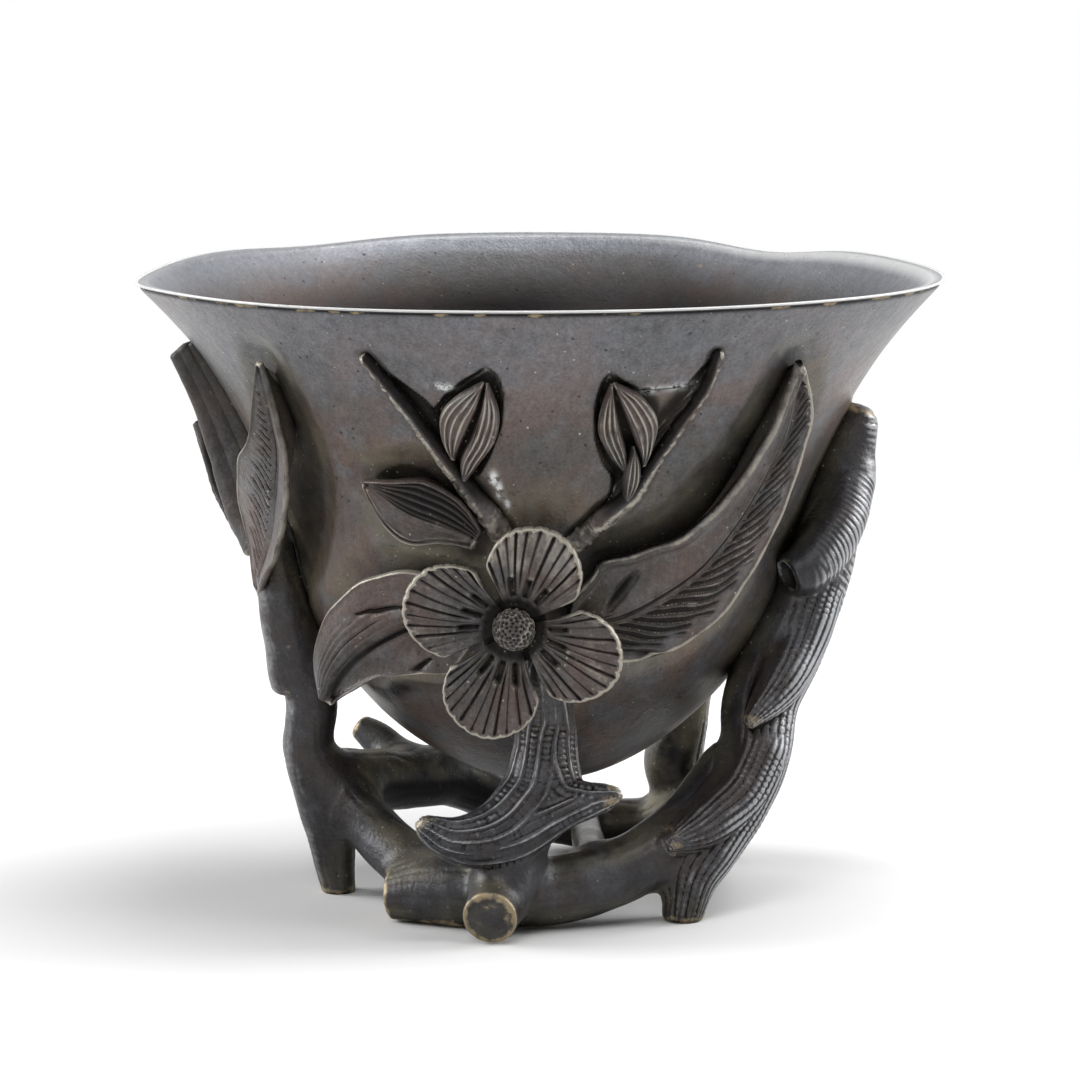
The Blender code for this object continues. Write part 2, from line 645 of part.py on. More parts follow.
leaf("back_leaf", [
    Leaf(170.0, 0.505, 2.5, 2.5, 1.5, 1.4, 1.5), Leaf(180.0, 0.515, 6.5, 6.0, 2.2, 1.5, 1.8),
    Leaf(190.0, 0.555, 6.0, 7.0, 3.0, 1.7, 2.0), Leaf(198.0, 0.63, 4.6, 6.6, 3.2, 1.8, 2.2),
    Leaf(201.0, 0.72, 3.2, 4.6, 2.6, 1.6, 2.0), Leaf(200.0, 0.80, 1.2, 1.6, 1.8, 1.4, 1.6),
    Leaf(199.0, 0.835, 0.4, 0.4, 1.3, 1.3, 1.3),
], [])

leaf("back_small_leaf", [
    Leaf(150.0, 0.60, 1.6, 1.6, 1.5, 1.4, 1.5), Leaf(144.0, 0.635, 4.0, 4.2, 2.0, 1.6, 2.2),
    Leaf(138.0, 0.68, 3.6, 3.8, 2.2, 1.7, 2.4), Leaf(134.5, 0.735, 1.6, 1.8, 1.8, 1.5, 1.9),
    Leaf(133.0, 0.765, 0.4, 0.4, 1.3, 1.3, 1.3),
], [])


# Buds


def lobe_mesh(name, angle, share, lean, length, width, extra=0.0):
    """Pointed bud lobe lying on the wall."""
    spot, across, up, outward = wall_frame(angle, share)
    turn = math.radians(lean)
    along = up * math.cos(turn) + across * math.sin(turn)
    side = across * math.cos(turn) - up * math.sin(turn)
    frame = Matrix((side, along, outward)).transposed().to_4x4()
    frame.translation = spot
    shape = bmesh.new()
    bmesh.ops.create_uvsphere(shape, u_segments=10, v_segments=8, radius=1.0)
    for corner in shape.verts:
        x, down, y = corner.co
        slim = 1.0 - BUD_POINT * max(y, 0.0) ** 2
        corner.co = Vector((x * slim * (width / 2 * LEAF_UNIT + extra),
                            y * (length / 2 * LEAF_UNIT + extra),
                            -down * slim * (BUD_HEIGHT + extra)))
    bmesh.ops.transform(shape, matrix=frame, verts=shape.verts)
    mesh = bpy.data.meshes.new(name)
    shape.to_mesh(mesh)
    shape.free()
    return mesh


def bud(name, place, neighbours):
    """Bud lobe seated on the wall beside the lobes and twigs it grows from."""
    piece = add_object(name, lobe_mesh(name, *place), PARTS, LEAF_METAL)
    boolean(piece, "DIFFERENCE", BOWL_SEAT)
    for neighbour in neighbours:
        for cutter in fat_limbs(neighbour):
            boolean(piece, "DIFFERENCE", cutter)
    seat = add_object(f"{name}_seat", lobe_mesh(f"{name}_seat", *place, SEAM), CUTTERS)
    FAT_LIMBS[name] = [seat]


bud("left_bud_outer", (-12.8, 0.822, 20.0, 12.0, 4.6), ["left_twig"])
bud("left_bud_inner", (-9.6, 0.800, 14.0, 15.0, 4.6), ["left_twig", "left_bud_outer"])
bud("right_bud_inner", (11.9, 0.810, -12.0, 13.2, 3.8), ["right_twig"])
bud("right_bud_outer", (16.0, 0.808, -24.0, 12.6, 4.2), ["right_twig", "right_bud_inner"])
bud("right_bud_sepal", (16.4, 0.722, 2.0, 7.4, 2.4), ["right_twig", "right_bud_inner", "right_bud_outer"])
bud("back_bud_outer", (164.0, 0.815, 6.0, 12.0, 4.2), ["back_twig"])
bud("back_bud_inner", (160.0, 0.800, 12.0, 13.0, 4.2), ["back_twig", "back_bud_outer"])


flower("flower", FLOWER_ANGLE, FLOWER_SHARE, FLOWER_TURN, PETAL_FLUTES, "front_branch",
       ("left_twig", "right_twig", "curled_leaf", "lower_left_leaf", "right_leaf"))
flower("back_flower", BACK_FLOWER_ANGLE, BACK_FLOWER_SHARE, BACK_FLOWER_TURN, BACK_PETAL_FLUTES, "back_branch",
       ("back_twig", "back_leaf", "back_small_leaf"))
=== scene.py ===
"""Finished look of the cast bronze cup: every casting carved in full and given its patina.

Shapes are worked out in millimetres, in the frame of the part: front of the cup at -Y, +Z up.
Places on the bowl are an angle round it (degrees from the front, right is positive), a share of
the way up its wall line, and a height out from the wall.
"""

import math
from typing import NamedTuple

import bmesh
import bpy
import numpy as np
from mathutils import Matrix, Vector
from mathutils.bvhtree import BVHTree
from mathutils.kdtree import KDTree


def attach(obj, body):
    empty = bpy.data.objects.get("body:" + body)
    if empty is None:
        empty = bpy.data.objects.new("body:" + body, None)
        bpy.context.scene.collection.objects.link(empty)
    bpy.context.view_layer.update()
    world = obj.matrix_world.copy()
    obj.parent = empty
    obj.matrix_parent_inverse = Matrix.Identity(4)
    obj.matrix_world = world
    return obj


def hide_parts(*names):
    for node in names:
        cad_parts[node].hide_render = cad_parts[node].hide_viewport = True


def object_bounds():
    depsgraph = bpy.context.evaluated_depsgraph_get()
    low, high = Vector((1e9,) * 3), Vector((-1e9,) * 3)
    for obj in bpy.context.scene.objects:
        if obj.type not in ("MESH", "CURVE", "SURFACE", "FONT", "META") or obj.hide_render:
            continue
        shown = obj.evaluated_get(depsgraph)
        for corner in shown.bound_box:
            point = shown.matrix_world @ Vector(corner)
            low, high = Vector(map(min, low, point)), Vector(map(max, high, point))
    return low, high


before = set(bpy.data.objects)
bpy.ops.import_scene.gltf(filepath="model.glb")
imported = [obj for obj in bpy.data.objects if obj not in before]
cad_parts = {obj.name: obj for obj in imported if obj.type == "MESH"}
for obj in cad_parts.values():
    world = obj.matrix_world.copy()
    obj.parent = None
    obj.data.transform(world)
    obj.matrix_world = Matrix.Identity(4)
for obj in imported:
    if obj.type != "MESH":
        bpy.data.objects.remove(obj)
CAD_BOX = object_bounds()

MM = 0.001

# Bowl wall, as in the part
LIP_WIDTH = 105.0
LIP_DEPTH = 94.0
LIP_HEIGHT = 81.5
LIP_WALL = 1.1
LIP_ZONE = 0.14
LIP_DROOPS = ((100.0, 0.9, 40.0), (-95.0, 1.5, 25.0), (-45.0, 0.45, 30.0), (143.0, 1.45, 11.0),
              (-142.0, 0.85, 14.0))
BELLY_RADIUS = 32.6
BELLY_HEIGHT = 44.0
BELLY_LEAN = 0.2
BELLY_HANDLE = 14.0
BOWL_BOTTOM = 14.3
BOTTOM_HANDLE = 14.0
LIP_SLOPE = (10.8, 12.0)
BOWL_WALL = 2.2

# Flowers, as in the part
FLOWER_STAND = 3.4
FLOWER_TILT = 11.0
PETAL_ROUND = 6.1
PETAL_CENTRE = 7.9
PETAL_INNER = 1.2
PETAL_HALF_FAN = 42.5
PETAL_CUP = 2.4
PETAL_THICKNESS = 0.9
BUTTON_RADIUS = 2.9
BUTTON_RISE = 1.9

# Leaves and buds, as in the part
LEAF_THICKNESS = 0.9


class Leaf(NamedTuple):
    """One cross section of a leaf: its place, half widths and heights."""
    angle: float
    share: float
    left: float
    right: float
    left_height: float
    rib_height: float
    right_height: float


# Small number tools


def smooth_step(low, high, value):
    """Soft step from 0 at low to 1 at high."""
    part = np.clip((value - low) / (high - low), 0.0, 1.0)
    return part * part * (3.0 - 2.0 * part)


def hump(away, width):
    """Bell shape: 1 where away is 0, falling off over a width."""
    return np.exp(-(away / width) ** 2)


def unit(vectors):
    """Vectors at length one."""
    return vectors / np.maximum(np.linalg.norm(vectors, axis=-1, keepdims=True), 1e-9)


def cast_noise(spots, size, seed):
    """Smooth random value from -1 to 1 at each spot, with lumps of a given size."""
    cell = np.asarray(spots, float) / size + 57.3 * seed
    base = np.floor(cell).astype(np.int64)
    part = cell - base
    part = part * part * (3.0 - 2.0 * part)
    total = np.zeros(len(cell))
    for corner in range(8):
        step = np.array([corner & 1, corner >> 1 & 1, corner >> 2 & 1])
        spot = base + step
        weight = np.prod(np.where(step, part, 1.0 - part), axis=1)
        mixed = spot[:, 0] * 73856093 ^ spot[:, 1] * 19349663 ^ spot[:, 2] * 83492791
        mixed = (mixed ^ (mixed >> 13)) * 1274126177 & 0x7FFFFFFF
        total += weight * (mixed % 65536 / 32767.5 - 1.0)
    return total


def smooth_rows(rows, steps):
    """Rows of numbers with smooth curve rows put between them."""
    rows = np.asarray(rows, float)
    before = np.vstack([rows[:1], rows[:-2]])
    after = np.vstack([rows[2:], rows[-1:]])
    start = rows[:-1]
    end = rows[1:]
    out = []
    for t in np.arange(steps) / steps:
        out.append(0.5 * (2 * start + (end - before) * t
                          + (2 * before - 5 * start + 4 * end - after) * t ** 2
                          + (3 * start - before - 3 * end + after) * t ** 3))
    line = np.stack(out, axis=1).reshape(-1, rows.shape[1])
    return np.vstack([line, rows[-1:]])


# Wall of the bowl


def bezier(start, first, second, end, share):
    """Points on a cubic curve."""
    share = share[:, None]
    rest = 1.0 - share
    return (start * rest ** 3 + first * 3 * rest ** 2 * share
            + second * 3 * rest * share ** 2 + end * share ** 3)


def wall_table():
    """Outer wall line from the pole to just past the lip: lengths, radii and heights."""
    pole = np.array([0.0, BOWL_BOTTOM])
    belly = np.array([BELLY_RADIUS, BELLY_HEIGHT])
    lip = np.array([LIP_WIDTH / 2, LIP_HEIGHT])
    lean = np.array([BELLY_LEAN, 1.0]) * BELLY_HANDLE
    slope = np.array(LIP_SLOPE)
    flat = np.array([BOTTOM_HANDLE, 0.0])
    steps = 80
    lower = bezier(pole, pole + flat, belly - lean, belly, np.arange(steps) / steps)
    upper = bezier(belly, belly + lean, lip - slope, lip, np.arange(steps + 1) / steps)
    line = np.vstack([lower, upper, lip + slope])
    lengths = np.concatenate([[0.0], np.cumsum(np.linalg.norm(np.diff(line, axis=0), axis=1))])
    return lengths, line[:, 0], line[:, 1]


WALL_LENGTHS, WALL_RADII, WALL_HEIGHTS = wall_table()
WALL_LENGTH = WALL_LENGTHS[-2]


def wall_line(share):
    """Radius and height of the outer wall at a share of its length."""
    target = np.maximum(share, 0.0) * WALL_LENGTH
    return np.interp(target, WALL_LENGTHS, WALL_RADII), np.interp(target, WALL_LENGTHS, WALL_HEIGHTS)


def lip_drop(angle, share):
    """How far the uneven lip hangs below its full height."""
    drop = 0.0
    for centre, depth, spread in LIP_DROOPS:
        away = (angle - centre + 180.0) % 360.0 - 180.0
        drop = drop + depth * hump(away, spread)
    return drop * np.maximum(0.0, 1.0 - (1.0 - share) / LIP_ZONE)


def wall_base(angle, share):
    """Points on the outer wall."""
    radius, height = wall_line(share)
    oval = 1.0 - (1.0 - LIP_DEPTH / LIP_WIDTH) * share
    turn = np.radians(angle)
    return np.stack(np.broadcast_arrays(radius * np.sin(turn), -radius * oval * np.cos(turn),
                                        height - lip_drop(angle, share)), axis=-1)


def wall_frame(angle, share):
    """Points on the outer wall with their across, up and outward directions."""
    angle = np.asarray(angle, float)
    share = np.maximum(np.asarray(share, float), 0.004)
    across = unit(wall_base(angle + 0.5, share) - wall_base(angle - 0.5, share))
    up = unit(wall_base(angle, share + 0.004) - wall_base(angle, share - 0.004))
    outward = unit(np.cross(across, up))
    return wall_base(angle, share), across, up, outward


def wall_point(angle, share, out=0.0):
    """Points at a height out from the outer wall."""
    spot, across, up, outward = wall_frame(angle, share)
    return spot + outward * np.asarray(out, float)[..., None]


# Mesh tools


def grid_faces(rows, columns, closed):
    """Corner numbers of the faces of a grid, closed round its columns or not."""
    across = columns if closed else columns - 1
    row = np.arange(rows - 1)[:, None] * columns
    here = np.arange(across)[None, :]
    there = (here + 1) % columns
    above = row + columns
    return np.stack([row + here, row + there, above + there, above + here], axis=-1).reshape(-1, 4)


def add_piece(name, spots, faces, material, merge=0.002, masks=None):
    """Piece from spots in mm and faces, smooth shaded, with its outside facing out."""
    mesh = bpy.data.meshes.new(name)
    mesh.from_pydata((np.asarray(spots) * MM).tolist(), [], np.asarray(faces).tolist())
    for mask, values in (masks or {}).items():
        write_mask(mesh, mask, values)
    shape = bmesh.new()
    shape.from_mesh(mesh)
    bmesh.ops.remove_doubles(shape, verts=shape.verts, dist=merge * MM)
    bmesh.ops.recalc_face_normals(shape, faces=shape.faces)
    shape.to_mesh(mesh)
    shape.free()
    mesh.polygons.foreach_set("use_smooth", np.ones(len(mesh.polygons), bool))
    mesh.materials.append(material)
    piece = bpy.data.objects.new(name, mesh)
    bpy.context.scene.collection.objects.link(piece)
    return piece


def spots_of(mesh):
    """Corner places of a mesh in mm."""
    spots = np.empty(len(mesh.vertices) * 3)
    mesh.vertices.foreach_get("co", spots)
    return spots.reshape(-1, 3) / MM


def normals_of(mesh):
    """Corner normals of a mesh."""
    normals = np.empty(len(mesh.vertices) * 3)
    mesh.vertex_normals.foreach_get("vector", normals)
    return normals.reshape(-1, 3)


def edges_of(mesh):
    """Corner numbers of the edges of a mesh."""
    edges = np.empty(len(mesh.edges) * 2, np.int32)
    mesh.edges.foreach_get("vertices", edges)
    return edges.reshape(-1, 2)


def relaxed(spots, edges, rounds):
    """Spots drawn towards the middle of their neighbours, a number of times."""
    count = len(spots)
    ends = np.concatenate([edges[:, 0], edges[:, 1]])
    others = np.concatenate([edges[:, 1], edges[:, 0]])
    share = np.maximum(np.bincount(ends, minlength=count), 1)
    spots = spots.copy()
    for _ in range(rounds):
        sums = [np.bincount(ends, spots[others, axis], count) for axis in range(3)]
        middle = np.stack(sums, axis=1) / share[:, None]
        spots += 0.5 * (middle - spots)
    return spots


def write_mask(mesh, name, values):
    """Keep a value per corner for the finish to read."""
    layer = mesh.attributes.new(name, "FLOAT", "POINT")
    layer.data.foreach_set("value", np.asarray(values, np.float32))


def carving_of(mesh, rounds):
    """How far each corner stands proud of its surroundings, in mm, below zero in hollows."""
    spots = spots_of(mesh)
    level = relaxed(spots, edges_of(mesh), rounds)
    return ((spots - level) * normals_of(mesh)).sum(axis=1)


def tie_piece(piece):
    """Tie a piece to the part: its body and the node it stands for."""
    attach(piece, "root")
    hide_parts(piece.name.removesuffix("_cast"))
    return piece


def finish_piece(piece, rounds):
    """Read how a piece is carved and tie it to the part."""
    write_mask(piece.data, "carving", carving_of(piece.data, rounds))
    return tie_piece(piece)


# Bronze finish: shared effects as node groups, one material for each kind of casting


def add_node(tree, kind, settings=None, inputs=None):
    """Node in a tree with its settings, and its inputs set or linked."""
    made = tree.nodes.new(kind)
    for name, value in (settings or {}).items():
        setattr(made, name, value)
    for name, value in (inputs or {}).items():
        if isinstance(value, bpy.types.NodeSocket):
            tree.links.new(value, made.inputs[name])
        else:
            made.inputs[name].default_value = value
    return made


def soft_range(tree, value, low, high):
    """Value mapped softly to 0 at low and 1 at high."""
    made = add_node(tree, "ShaderNodeMapRange", {"interpolation_type": "SMOOTHSTEP"},
                    {"Value": value, "From Min": low, "From Max": high})
    return made.outputs["Result"]


def maths(tree, operation, first, second=0.0, third=0.0):
    """Values put together."""
    made = add_node(tree, "ShaderNodeMath", {"operation": operation}, {0: first, 1: second, 2: third})
    return made.outputs[0]


def blend_colour(tree, share, first, second, mode="MIX"):
    """Two colours blended by a share."""
    made = add_node(tree, "ShaderNodeMix", {"data_type": "RGBA", "blend_type": mode},
                    {0: share, 6: first, 7: second})
    return made.outputs[2]


def noise_value(tree, place, scale, detail, roughness=0.55):
    """Cloudy noise over the metal, scale in lumps per metre."""
    made = add_node(tree, "ShaderNodeTexNoise", {"normalize": True},
                    {"Vector": place, "Scale": scale, "Detail": detail, "Roughness": roughness})
    return made.outputs["Fac"]


def mask_value(tree, name):
    """Value kept on the corners of a piece."""
    return add_node(tree, "ShaderNodeAttribute", {"attribute_name": name}).outputs["Fac"]


def new_group(name, inputs, outputs):
    """Empty node group with named sockets, with its inside ends."""
    tree = bpy.data.node_groups.new(name, "ShaderNodeTree")
    for label, kind, value in inputs:
        socket = tree.interface.new_socket(label, in_out="INPUT", socket_type=kind)
        socket.default_value = value
    for label, kind in outputs:
        tree.interface.new_socket(label, in_out="OUTPUT", socket_type=kind)
    start = tree.nodes.new("NodeGroupInput")
    end = tree.nodes.new("NodeGroupOutput")
    return tree, start, end


OLIVE_DUST = (0.205, 0.186, 0.126, 1.0)
PALE_FLECKS = (0.40, 0.38, 0.30, 1.0)
# Near black for dirt and painted shade in hollows, cut lines and corners
DIRT_AND_SHADE_BLACK = (0.009, 0.008, 0.008, 1.0)
# Light colours of worn edges, also used as painted highlights on ridges, rims and lit sides; bluish on the
# branches
BRONZE_WEAR_AND_HIGHLIGHT = (0.33, 0.305, 0.255, 1.0)
BRANCH_WEAR_AND_HIGHLIGHT = (0.285, 0.292, 0.305, 1.0)
BARE_BRASS = (0.33, 0.26, 0.155, 1.0)
# Painted sheen of the upper wall and inside of the bowl, and the lip's polish, partly worn bright metal and
# partly a painted highlight
LIP_SHEEN = (0.176, 0.186, 0.208, 1.0)
LIP_POLISH_AND_HIGHLIGHT = (0.74, 0.74, 0.73, 1.0)
WHITE_CHALK = (0.60, 0.61, 0.61, 1.0)
PIT_BLACK = (0.015, 0.013, 0.012, 1.0)
SPECK_WHITE = (0.42, 0.41, 0.38, 1.0)
PURE_WHITE = (1.0, 1.0, 1.0, 1.0)

# How much the cast metal shines like metal, and how the grain stands out of it, in metres
METAL_SHARE = 0.35
GRAIN_STRENGTH = 0.6
GRAIN_HEIGHT = 0.00012

# Inside of the bowl: how much more painted sheen it has than the outside, and how much less mottling
INSIDE_SHEEN = 0.4
INSIDE_CALM = 0.35


def patina_group():
    """Mottled brown and grey patina with wiped streaks, fine grain, pits and pale specks, and a painted
    sheen blended in by the Sheen input.
    """
    tree, start, end = new_group(
        "bronze_patina",
        [("Ground", "NodeSocketColor", (0.1, 0.09, 0.085, 1.0)),
         ("Brown", "NodeSocketColor", (0.1, 0.07, 0.055, 1.0)),
         ("Grey", "NodeSocketColor", (0.14, 0.14, 0.15, 1.0)),
         ("Brown amount", "NodeSocketFloat", 0.6), ("Grey amount", "NodeSocketFloat", 0.5),
         ("Specks", "NodeSocketFloat", 0.5), ("Mottle", "NodeSocketFloat", 1.0),
         ("Sheen", "NodeSocketFloat", 0.0), ("Sheen colour", "NodeSocketColor", LIP_SHEEN)],
        [("Colour", "NodeSocketColor"), ("Roughness", "NodeSocketFloat"), ("Grain", "NodeSocketFloat")])
    place = add_node(tree, "ShaderNodeTexCoord").outputs["Object"]
    clouds = noise_value(tree, place, 60.0, 6.0, 0.62)
    patches = noise_value(tree, place, 210.0, 6.0, 0.65)
    spots = noise_value(tree, place, 640.0, 5.0, 0.62)
    fine = noise_value(tree, place, 2500.0, 4.0, 0.65)
    wiped = add_node(tree, "ShaderNodeMapping", {},
                     {"Vector": place, "Rotation": (0.0, 0.3, 0.0), "Scale": (1.0, 1.0, 0.08)})
    streaks = noise_value(tree, wiped.outputs["Vector"], 900.0, 3.0, 0.6)
    brown = maths(tree, "MULTIPLY", soft_range(tree, clouds, 0.40, 0.60), start.outputs["Brown amount"])
    colour = blend_colour(tree, brown, start.outputs["Ground"], start.outputs["Brown"])
    grey = maths(tree, "MULTIPLY", soft_range(tree, patches, 0.46, 0.66), start.outputs["Grey amount"])
    colour = blend_colour(tree, grey, colour, start.outputs["Grey"])
    colour = blend_colour(tree, start.outputs["Sheen"], colour, start.outputs["Sheen colour"])
    shade = -1.95
    for mottling, weight in ((spots, 0.9), (clouds, 0.9), (fine, 1.4), (streaks, 0.7)):
        shade = maths(tree, "MULTIPLY_ADD", mottling, weight, shade)
    shade = maths(tree, "MULTIPLY_ADD", shade, start.outputs["Mottle"], 1.0)
    colour = blend_colour(tree, 1.0, colour, shade, "MULTIPLY")
    dots = add_node(tree, "ShaderNodeTexVoronoi", {}, {"Vector": place, "Scale": 1250.0})
    tone = add_node(tree, "ShaderNodeSeparateColor", {}, {"Color": dots.outputs["Color"]})
    ragged = maths(tree, "MULTIPLY_ADD", fine, 0.5, -0.25)
    reach = maths(tree, "ADD", dots.outputs["Distance"], ragged)
    chosen = maths(tree, "GREATER_THAN", tone.outputs["Red"], 0.95)
    pit = maths(tree, "MULTIPLY", soft_range(tree, reach, 0.30, 0.14), chosen)
    pit = maths(tree, "MULTIPLY", pit, start.outputs["Specks"])
    colour = blend_colour(tree, pit, colour, PIT_BLACK)
    chosen = maths(tree, "GREATER_THAN", tone.outputs["Green"], 0.94)
    speck = maths(tree, "MULTIPLY", soft_range(tree, reach, 0.20, 0.10), chosen)
    speck = maths(tree, "MULTIPLY", speck, start.outputs["Specks"])
    colour = blend_colour(tree, speck, colour, SPECK_WHITE)
    tree.links.new(colour, end.inputs["Colour"])
    tree.links.new(maths(tree, "MULTIPLY_ADD", patches, 0.36, 0.14), end.inputs["Roughness"])
    grain = maths(tree, "MULTIPLY_ADD", spots, 1.5, fine)
    tree.links.new(maths(tree, "SUBTRACT", grain, pit), end.inputs["Grain"])
    return tree


def wear_and_painted_light_group():
    """Worn high edges with painted highlights, cut lines darkened with dirt and painted shade, and bare
    bright metal, from how the metal is carved and from the rub and painted light mask.
    """
    tree, start, end = new_group(
        "carving_wear_and_painted_light",
        [("Worn and painted highlight from", "NodeSocketFloat", 0.03), ("Worn and painted highlight to", "NodeSocketFloat", 0.14),
         ("Cut from", "NodeSocketFloat", -0.01), ("Cut to", "NodeSocketFloat", -0.09)],
        [("Worn and painted highlight", "NodeSocketFloat"), ("Cut", "NodeSocketFloat"), ("Bare", "NodeSocketFloat")])
    carving = mask_value(tree, "carving")
    place = add_node(tree, "ShaderNodeTexCoord").outputs["Object"]
    clouds = noise_value(tree, place, 330.0, 6.0, 0.68)
    # The rub and painted light mask pushes places towards the light colour as wear and painted highlight, or
    # away from it
    rubbed_and_painted_light = maths(tree, "MULTIPLY_ADD", mask_value(tree, "rub_and_painted_light"), 0.2, carving)
    rubbed_and_painted_light = maths(tree, "MULTIPLY_ADD", maths(tree, "SUBTRACT", clouds, 0.5), 0.24, rubbed_and_painted_light)
    worn_and_painted_highlight = soft_range(tree, rubbed_and_painted_light, start.outputs["Worn and painted highlight from"], start.outputs["Worn and painted highlight to"])
    bare = maths(tree, "ADD", mask_value(tree, "bare"), maths(tree, "MULTIPLY_ADD", clouds, 3.0, -1.5))
    cut = soft_range(tree, carving, start.outputs["Cut from"], start.outputs["Cut to"])
    tree.links.new(worn_and_painted_highlight, end.inputs["Worn and painted highlight"])
    tree.links.new(cut, end.inputs["Cut"])
    tree.links.new(soft_range(tree, bare, 0.45, 0.95), end.inputs["Bare"])
    return tree


def dust_and_painted_shade_group():
    """Olive dust with pale flecks in sheltered places, and near black dirt and painted shade in the deepest
    corners, under things and on the painted shade mask.
    """
    tree, start, end = new_group(
        "settled_dust_and_painted_shade",
        [("Dust amount", "NodeSocketFloat", 0.6), ("Dirt and painted shade amount", "NodeSocketFloat", 0.9)],
        [("Dust", "NodeSocketFloat"), ("Dirt and painted shade", "NodeSocketFloat"), ("Flecks", "NodeSocketFloat")])
    place = add_node(tree, "ShaderNodeTexCoord").outputs["Object"]
    patchy = soft_range(tree, noise_value(tree, place, 150.0, 6.0, 0.62), 0.34, 0.64)
    wide = add_node(tree, "ShaderNodeAmbientOcclusion", {"samples": 4}, {"Distance": 0.008}).outputs["AO"]
    close = add_node(tree, "ShaderNodeAmbientOcclusion", {"samples": 4}, {"Distance": 0.0024}).outputs["AO"]
    sheltered = maths(tree, "MAXIMUM", soft_range(tree, wide, 0.70, 0.35), mask_value(tree, "shelter"))
    dust = maths(tree, "MULTIPLY", sheltered, patchy)
    tree.links.new(maths(tree, "MULTIPLY", dust, start.outputs["Dust amount"]), end.inputs["Dust"])
    # Dirt and painted shade from close and wide occlusion, and painted shade from the mask
    dirt_and_painted_shade = maths(tree, "MAXIMUM", soft_range(tree, close, 0.74, 0.30), mask_value(tree, "painted_shade"))
    dirt_and_painted_shade = maths(tree, "MAXIMUM", dirt_and_painted_shade, maths(tree, "MULTIPLY", soft_range(tree, wide, 0.44, 0.10), 0.8))
    tree.links.new(maths(tree, "MULTIPLY", dirt_and_painted_shade, start.outputs["Dirt and painted shade amount"]), end.inputs["Dirt and painted shade"])
    grit = add_node(tree, "ShaderNodeTexVoronoi", {}, {"Vector": place, "Scale": 1500.0})
    tone = add_node(tree, "ShaderNodeSeparateColor", {}, {"Color": grit.outputs["Color"]})
    fleck = maths(tree, "MULTIPLY", soft_range(tree, grit.outputs["Distance"], 0.26, 0.14),
                  maths(tree, "GREATER_THAN", tone.outputs["Blue"], 0.8))
    tree.links.new(maths(tree, "MULTIPLY", fleck, dust), end.inputs["Flecks"])
    return tree


PATINA = patina_group()
WEAR_AND_PAINTED_LIGHT = wear_and_painted_light_group()
DUST_AND_PAINTED_SHADE = dust_and_painted_shade_group()


